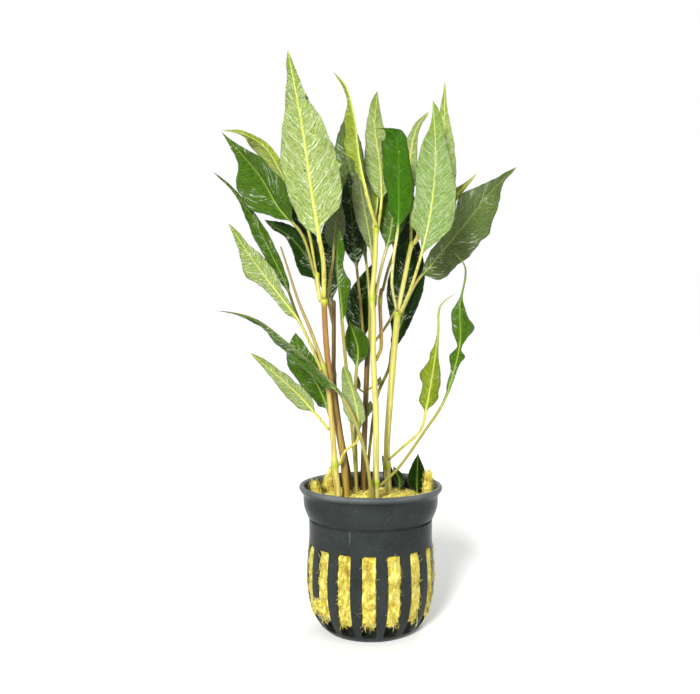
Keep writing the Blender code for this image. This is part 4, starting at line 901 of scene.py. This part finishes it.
def addPot():
    bm = bmesh.new()
    spinProfile(bm, potProfile(), pot["steps"])
    bmesh.ops.scale(bm, vec=(mm, mm, mm), verts=bm.verts)
    piece = addPiece("netPot", bm)
    cuts = bmesh.new()
    near, far = pot["slotReach"]
    height = pot["slotTop"] - pot["slotBottom"]
    for i in range(pot["slots"]):
        box = bmesh.ops.create_cube(cuts, size=1)["verts"]
        bmesh.ops.scale(cuts, vec=(far - near, pot["slotWidth"], height), verts=box)
        bmesh.ops.translate(cuts, vec=((near + far) / 2, 0, pot["slotBottom"] + height / 2), verts=box)
        bmesh.ops.rotate(cuts, cent=(0, 0, 0), matrix=Matrix.Rotation(slotTurn(i), 3, "Z"), verts=box)
    bmesh.ops.bevel(cuts, geom=cuts.edges[:], offset=pot["slotCorner"], segments=3, profile=0.5,
                    affect="EDGES", material=-1)
    bmesh.ops.scale(cuts, vec=(mm, mm, mm), verts=cuts.verts)
    cutter = addPiece("slotCuts", cuts)
    cut = piece.modifiers.new("slots", "BOOLEAN")
    cut.operation, cut.solver, cut.object = "DIFFERENCE", "EXACT", cutter
    applied(piece)
    bpy.data.objects.remove(cutter, do_unlink=True)
    piece.data.shade_smooth()
    piece.data.set_sharp_from_angle(angle=radians(32))
    return piece


# The last three set a painted highlight: a paler grey band between two heights on the rim
potDetail = dict(dark="#202423", light="#2a2e2d", dust="#5a5e5d", cloud=11.0, speck=0.45, scratch=(0.5, 14.0),
                 bumpDepth=0.05, roughness=(0.22, 0.34), specular=0.055,
                 highlightFrom=53.2, highlightTo=54.8, rimHighlight="#6c7070")


def potPlastic():
    material, shader = newMaterial("mouldedPolypropylene")
    coords = addNode(material, "ShaderNodeTexCoord")["Object"]
    cloud = addNode(material, "ShaderNodeTexNoise", {"Vector": coords, "Scale": 1 / (potDetail["cloud"] * mm),
                    "Detail": 5.0})["Fac"]
    speck = addNode(material, "ShaderNodeTexNoise", {"Vector": coords, "Scale": 1 / (potDetail["speck"] * mm),
                    "Detail": 2.0})["Fac"]
    thin, long = [1 / (size * mm) for size in potDetail["scratch"]]
    strokes = addNode(material, "ShaderNodeMapping", {"Vector": coords, "Rotation": (0.5, 0.7, 0.4),
                      "Scale": (long, thin, long)})[0]
    scratch = addNode(material, "ShaderNodeTexNoise", {"Vector": strokes, "Scale": 1.0, "Detail": 2.0})["Fac"]
    scratch = addNode(material, "ShaderNodeMapRange", {"Value": scratch, "From Min": 0.7, "From Max": 0.78,
                      "To Max": 0.35})["Result"]
    dust = addNode(material, "ShaderNodeMapRange", {"Value": speck, "From Min": 0.66, "From Max": 0.74,
                   "To Max": 0.6})["Result"]
    dust = addNode(material, "ShaderNodeMath", {0: dust, 1: scratch}, operation="MAXIMUM")[0]
    shade = addNode(material, "ShaderNodeMapRange", {"Value": cloud, "From Min": 0.3, "From Max": 0.7})["Result"]
    colour = addNode(material, "ShaderNodeMix", {0: shade, 6: hexColour(potDetail["dark"]),
                     7: hexColour(potDetail["light"])}, data_type="RGBA")[2]
    colour = addNode(material, "ShaderNodeMix", {0: dust, 6: colour, 7: hexColour(potDetail["dust"])},
                     data_type="RGBA")[2]
    # Painted highlight: a paler grey band along the rim's top edge, in patches
    rim = addNode(material, "ShaderNodeSeparateXYZ", {"Vector": coords})["Z"]
    rim = addNode(material, "ShaderNodeMapRange", {
        "Value": rim, "From Min": potDetail["highlightFrom"] * mm, "From Max": potDetail["highlightTo"] * mm,
        "To Max": 1.0})["Result"]
    rim = addNode(material, "ShaderNodeMath", {0: rim, 1: cloud}, operation="MULTIPLY")[0]
    colour = addNode(material, "ShaderNodeMix", {0: rim, 6: colour, 7: hexColour(potDetail["rimHighlight"])},
                     data_type="RGBA")[2]
    smooth, rough = potDetail["roughness"]
    roughness = addNode(material, "ShaderNodeMapRange", {"Value": cloud, "To Min": smooth, "To Max": rough})["Result"]
    setShader(material, shader, {"Base Color": colour, "Roughness": roughness,
              "Specular IOR Level": potDetail["specular"]}, speck, potDetail["bumpDepth"])
    return material


# Rock wool: spun mineral fibre, matted into swirls, with hollows painted browner and darker as shade, and pale loose
# fibres painted lighter as if lit
wool = dict(
    floor=6.5, top=49.2, crown=1.3, side=[(20.05, 6.5), (22.2, 12.2), (22.85, 18), (22.75, 27), (22.15, 38),
                                          (22.95, 43.6), (23.9, 47.6), (23.5, 49.2)],
    padBottom=8.2, padTop=32.8, padInset=0.35, padWidth=4.7, padFray=1.3, columns=400, sideSteps=14,
    lump=1.1, hump=1.2, swirl=0.2, swirlReach=2.6)


def matting(spot):  # how far the matted surface rises or sinks at a place, about -1 to 1
    bent = spot + noise.noise_vector(spot * wool["swirl"]) * wool["swirlReach"]
    long = Vector((bent.x * 0.62, bent.y * 0.62, bent.z * 0.24))
    return noise.noise(long) + 0.55 * noise.noise(long * 2.4) + 0.3 * noise.noise(bent * 1.7)


def potRadius(z):  # the pot's outer wall
    for (r1, z1), (r2, z2) in zip(pot["outside"], pot["outside"][1:]):
        if z <= z2:
            return r1 + (r2 - r1) * (z - z1) / (z2 - z1)
    return pot["outside"][-1][0]


def woolPoint(turn, r, z):  # a place on the wool's skin, with how high it stands
    slots = tau / pot["slots"]
    away = (turn - slotTurn(0)) % slots
    away = min(away, slots - away) * max(r, 1)
    spot = Vector((r * cos(turn), r * sin(turn), z))
    rough = matting(spot)
    if z > wool["top"]:
        z += wool["hump"] * rough
    elif z < wool["top"] - 1:
        bottom = wool["padBottom"] + wool["padFray"] * noise.noise(spot * 0.6)
        pad = smoothStep(wool["padWidth"] / 2 + 0.4, wool["padWidth"] / 2, away)
        pad *= smoothStep(bottom - 0.5, bottom + 0.5, z) * smoothStep(wool["padTop"] + 0.4, wool["padTop"], z)
        r += pad * (potRadius(z) - wool["padInset"] - r) + wool["lump"] * min(0.5 * rough - 0.25, 0)
    return Vector((r * cos(turn), r * sin(turn), z)), rough


def addWoolBody():
    profile = [(wool["side"][0][0] * k / 6, wool["floor"]) for k in range(6)]
    profile += curveOf(wool["side"], wool["sideSteps"])
    for k in range(1, 31):
        out = 1 - k / 30
        profile.append((wool["side"][-1][0] * out, wool["top"] + wool["crown"] * (1 - out ** 2)))

    def placePoint(column, row):
        r, z = profile[row]
        turn = tau * column / wool["columns"]
        point, rough = woolPoint(turn, r, z)
        return point, (r * turn, z, rough), (0, 0, 0)

    return wrappedSkin("rockWool", wool["columns"], len(profile) - 1, placePoint)


# Loose lumps: the flap that leans out of a slot, and the tufts at the rim. wide and deep are the half sizes at
# the foot and the tip, along and across
tufts = {
    "slotFlap": dict(route=[(-14.6, -14.2, 12.2), (-16.6, -16, 12.6), (-18.8, -17.2, 14), (-20.6, -18.2, 15.6)],
                     wide=(4.6, 0.8), deep=(2.2, 0.9)),
    "rimTuftLeft": dict(route=[(-20.6, 2.5, 47), (-21.2, 2.5, 52), (-21.8, 2.5, 56.2)], wide=(2.3, 1.0),
                        deep=(2.0, 0.8)),
    "rimTuftRight": dict(route=[(21.8, 3.2, 47), (22.4, 3.2, 54), (22.6, 3.2, 60.4)], wide=(1.9, 1.2),
                         deep=(1.8, 1.0)),
    "rimTuftBack": dict(route=[(-17.5, 14, 47), (-16.5, 14, 56), (-14.2, 14.2, 61)], wide=(2.8, 0.5),
                        deep=(1.8, 0.5)),
}
tuftForm = dict(columns=28, rowEvery=0.3, rough=0.75)


def tuftPoint(tuft, curve, lengths, turn, share):
    centre, tangent = pointAt(curve, lengths, lengths[-1] * share)
    wide, face = acrossRoute(tangent, 0)
    low, high = tuft["wide"]
    along = low + (high - low) * share
    low, high = tuft["deep"]
    dome = sqrt(max(1 - smoothStep(0.8, 1, share) ** 2, 0.01))
    across = low + (high - low) * share
    point = centre + (wide * cos(turn) * along + face * sin(turn) * across) * dome
    rough = matting(point * 1.4)
    return point + (point - centre).normalized() * tuftForm["rough"] * 0.5 * rough, rough, point - centre


def addTuft(name):
    tuft = tufts[name]
    curve = smoothRoute(tuft["route"])
    lengths = lengthsAlong(curve)
    rows, columns = round(lengths[-1] / tuftForm["rowEvery"]), tuftForm["columns"]

    def placePoint(column, row):
        turn = tau * column / columns
        point, rough, _ = tuftPoint(tuft, curve, lengths, turn, row / rows)
        return point, (turn, row, rough), (0, 0, 0)

    return wrappedSkin(name, columns, rows, placePoint)


# Fibres: a few bent strands, copied over the wool's skin. rise is how far a fibre stands off
fibres = dict(kinds=6, thick=0.09, cuts=4, bend=0.5, slotCount=3300, crownCount=1500, tuftCount=170,
              length=(1.6, 4.6), rise=0.12, lean=0.35)


def strandTemplates():
    templates = []
    for kind in range(fibres["kinds"]):
        bm = bmesh.new()
        bmesh.ops.create_cone(bm, segments=3, radius1=fibres["thick"], radius2=fibres["thick"] * 0.4, depth=1)
        long = [edge for edge in bm.edges if abs(edge.verts[0].co.z - edge.verts[1].co.z) > 0.5]
        bmesh.ops.subdivide_edges(bm, edges=long, cuts=fibres["cuts"], use_grid_fill=True)
        bow, twist = dice.uniform(0.15, 0.5) * fibres["bend"], dice.uniform(-0.3, 0.3) * fibres["bend"]
        for vert in bm.verts:
            t = vert.co.z
            vert.co.x += bow * (1 - 4 * t * t) + twist * sin(tau * t)
        mesh = bpy.data.meshes.new("strand")
        bm.to_mesh(mesh)
        bm.free()
        templates.append(mesh)
    return templates


def layFibre(bm, templates, point, out, upright):
    length = dice.uniform(*fibres["length"])
    loose = Vector((dice.gauss(0, 1), dice.gauss(0, 1), dice.gauss(0, 1) * upright))
    run = (loose - out * loose.dot(out)).normalized() + out * dice.uniform(0, fibres["lean"])
    run.normalize()
    side = run.cross(out).normalized()
    lift = side.cross(run)
    matrix = Matrix((side, lift, run)).transposed().to_4x4()
    matrix.translation = point + out * (fibres["rise"] + length * 0.5 * run.dot(out))
    matrix = matrix @ Matrix.Diagonal((1, 1, length, 1))
    mesh = templates[dice.randrange(len(templates))]
    mesh.transform(matrix)
    bm.from_mesh(mesh)
    mesh.transform(matrix.inverted())


def addFibres():
    templates = strandTemplates()
    bm = bmesh.new()
    for _ in range(fibres["slotCount"]):
        z = dice.uniform(wool["padBottom"] - 0.8, wool["padTop"])
        turn = slotTurn(dice.randrange(pot["slots"]))
        turn += dice.uniform(-0.46, 0.46) * wool["padWidth"] / potRadius(z)
        point, _ = woolPoint(turn, wool["side"][2][0], z)
        out = Vector((cos(turn), sin(turn), 0))
        layFibre(bm, templates, point, out, 1.8)
    for _ in range(fibres["crownCount"]):
        turn, r = dice.uniform(0, tau), wool["side"][-1][0] * sqrt(dice.random())
        point, _ = woolPoint(turn, r, wool["top"] + wool["crown"] * (1 - (r / wool["side"][-1][0]) ** 2) + 0.01)
        layFibre(bm, templates, point, Vector((0, 0, 1)), 1)
    for name, tuft in tufts.items():
        curve = smoothRoute(tuft["route"])
        lengths = lengthsAlong(curve)
        for _ in range(fibres["tuftCount"]):
            point, _, away = tuftPoint(tuft, curve, lengths, dice.uniform(0, tau), dice.random())
            layFibre(bm, templates, point, away.normalized(), 1)
    for mesh in templates:
        bpy.data.meshes.remove(mesh)
    bmesh.ops.scale(bm, vec=(mm, mm, mm), verts=bm.verts)
    return addPiece("woolFibres", bm)


woolDetail = dict(streak=0.9, stretch=0.3, cloud=5.0, warp=1.4, bumpDepth=0.45,
                  colours=((0.3, "#704a14"), (0.41, "#a28a2c"), (0.53, "#c8ba48"), (0.72, "#e8e096")))


def matted(name, rise):  # rise is painted light: it lightens the loose fibres, which lie above the shadows
    material, shader = newMaterial(name)
    coords = addNode(material, "ShaderNodeTexCoord")["Object"]
    place = addNode(material, "ShaderNodeAttribute", attribute_name="place")["Vector"]
    place = addNode(material, "ShaderNodeSeparateXYZ", {"Vector": place})
    warp = addNode(material, "ShaderNodeTexNoise", {"Vector": coords, "Scale": 1 / (4 * mm), "Detail": 3.0})["Color"]
    reach = woolDetail["warp"] * mm
    bent = addNode(material, "ShaderNodeVectorMath", {0: warp, 1: (reach, reach, reach), 2: coords},
                   operation="MULTIPLY_ADD")[0]
    long = addNode(material, "ShaderNodeMapping", {"Vector": bent, "Scale": (1.0, 1.0, woolDetail["stretch"])})[0]
    strands = addNode(material, "ShaderNodeTexNoise", {"Vector": long, "Scale": 1 / (woolDetail["streak"] * mm),
                      "Detail": 5.0, "Roughness": 0.72})["Fac"]
    cloud = addNode(material, "ShaderNodeTexNoise", {"Vector": coords, "Scale": 1 / (woolDetail["cloud"] * mm),
                    "Detail": 3.0})["Fac"]
    both = addNode(material, "ShaderNodeMath", {0: cloud, 1: 0.25, 2: rise}, operation="MULTIPLY_ADD")[0]
    both = addNode(material, "ShaderNodeMath", {0: strands, 1: 0.75, 2: both}, operation="MULTIPLY_ADD")[0]
    # Painted shade: the colour runs browner and darker where the matted surface sinks
    both = addNode(material, "ShaderNodeMath", {0: place["Z"], 1: 0.16, 2: both}, operation="MULTIPLY_ADD")[0]
    ramp = addNode(material, "ShaderNodeValToRGB", {"Fac": both})
    stops = ramp[0].node.color_ramp.elements
    stops.remove(stops[0])
    for position, code in woolDetail["colours"]:
        stops.new(position).color = hexColour(code)
    stops.remove(stops[-1])
    setShader(material, shader, {"Base Color": ramp["Color"], "Roughness": 0.9, "Specular IOR Level": 0.2},
              strands, woolDetail["bumpDepth"])
    return material


# Building
addCamera()
addLights()
addStudio()
print("studio ready")
skins = {name: stemSkin(name) for name in stemSkins}
for name in stems:
    kind = stemKinds.get(name, "yellow")
    slot = "stem_yellow" if kind == "leaning" else "stem_" + kind
    dress(addStem(name), skins[kind], slot, nodeName(name))
print(len(stems), "stems grown")
kinds = {name: leafTissue(name) for name in tissues}
for name, leaf in leaves.items():
    dress(addLeaf(name), kinds[leaf.get("look", leaf["tissue"])], "leaf_" + leaf["tissue"], nodeName(name))
print(len(leaves), "leaves grown")
dress(addPot(), potPlastic(), "pot", "net_pot")
matt = matted("mattedRockWool", 0.0)
dress(addWoolBody(), matt, "wool", "rock_wool")
for name in tufts:
    dress(addTuft(name), matt, "wool")
# The loose fibres take a lighter copy of the wool's colour as painted light
dress(addFibres(), matted("looseRockWool", 0.08), "wool")
print("pot filled")
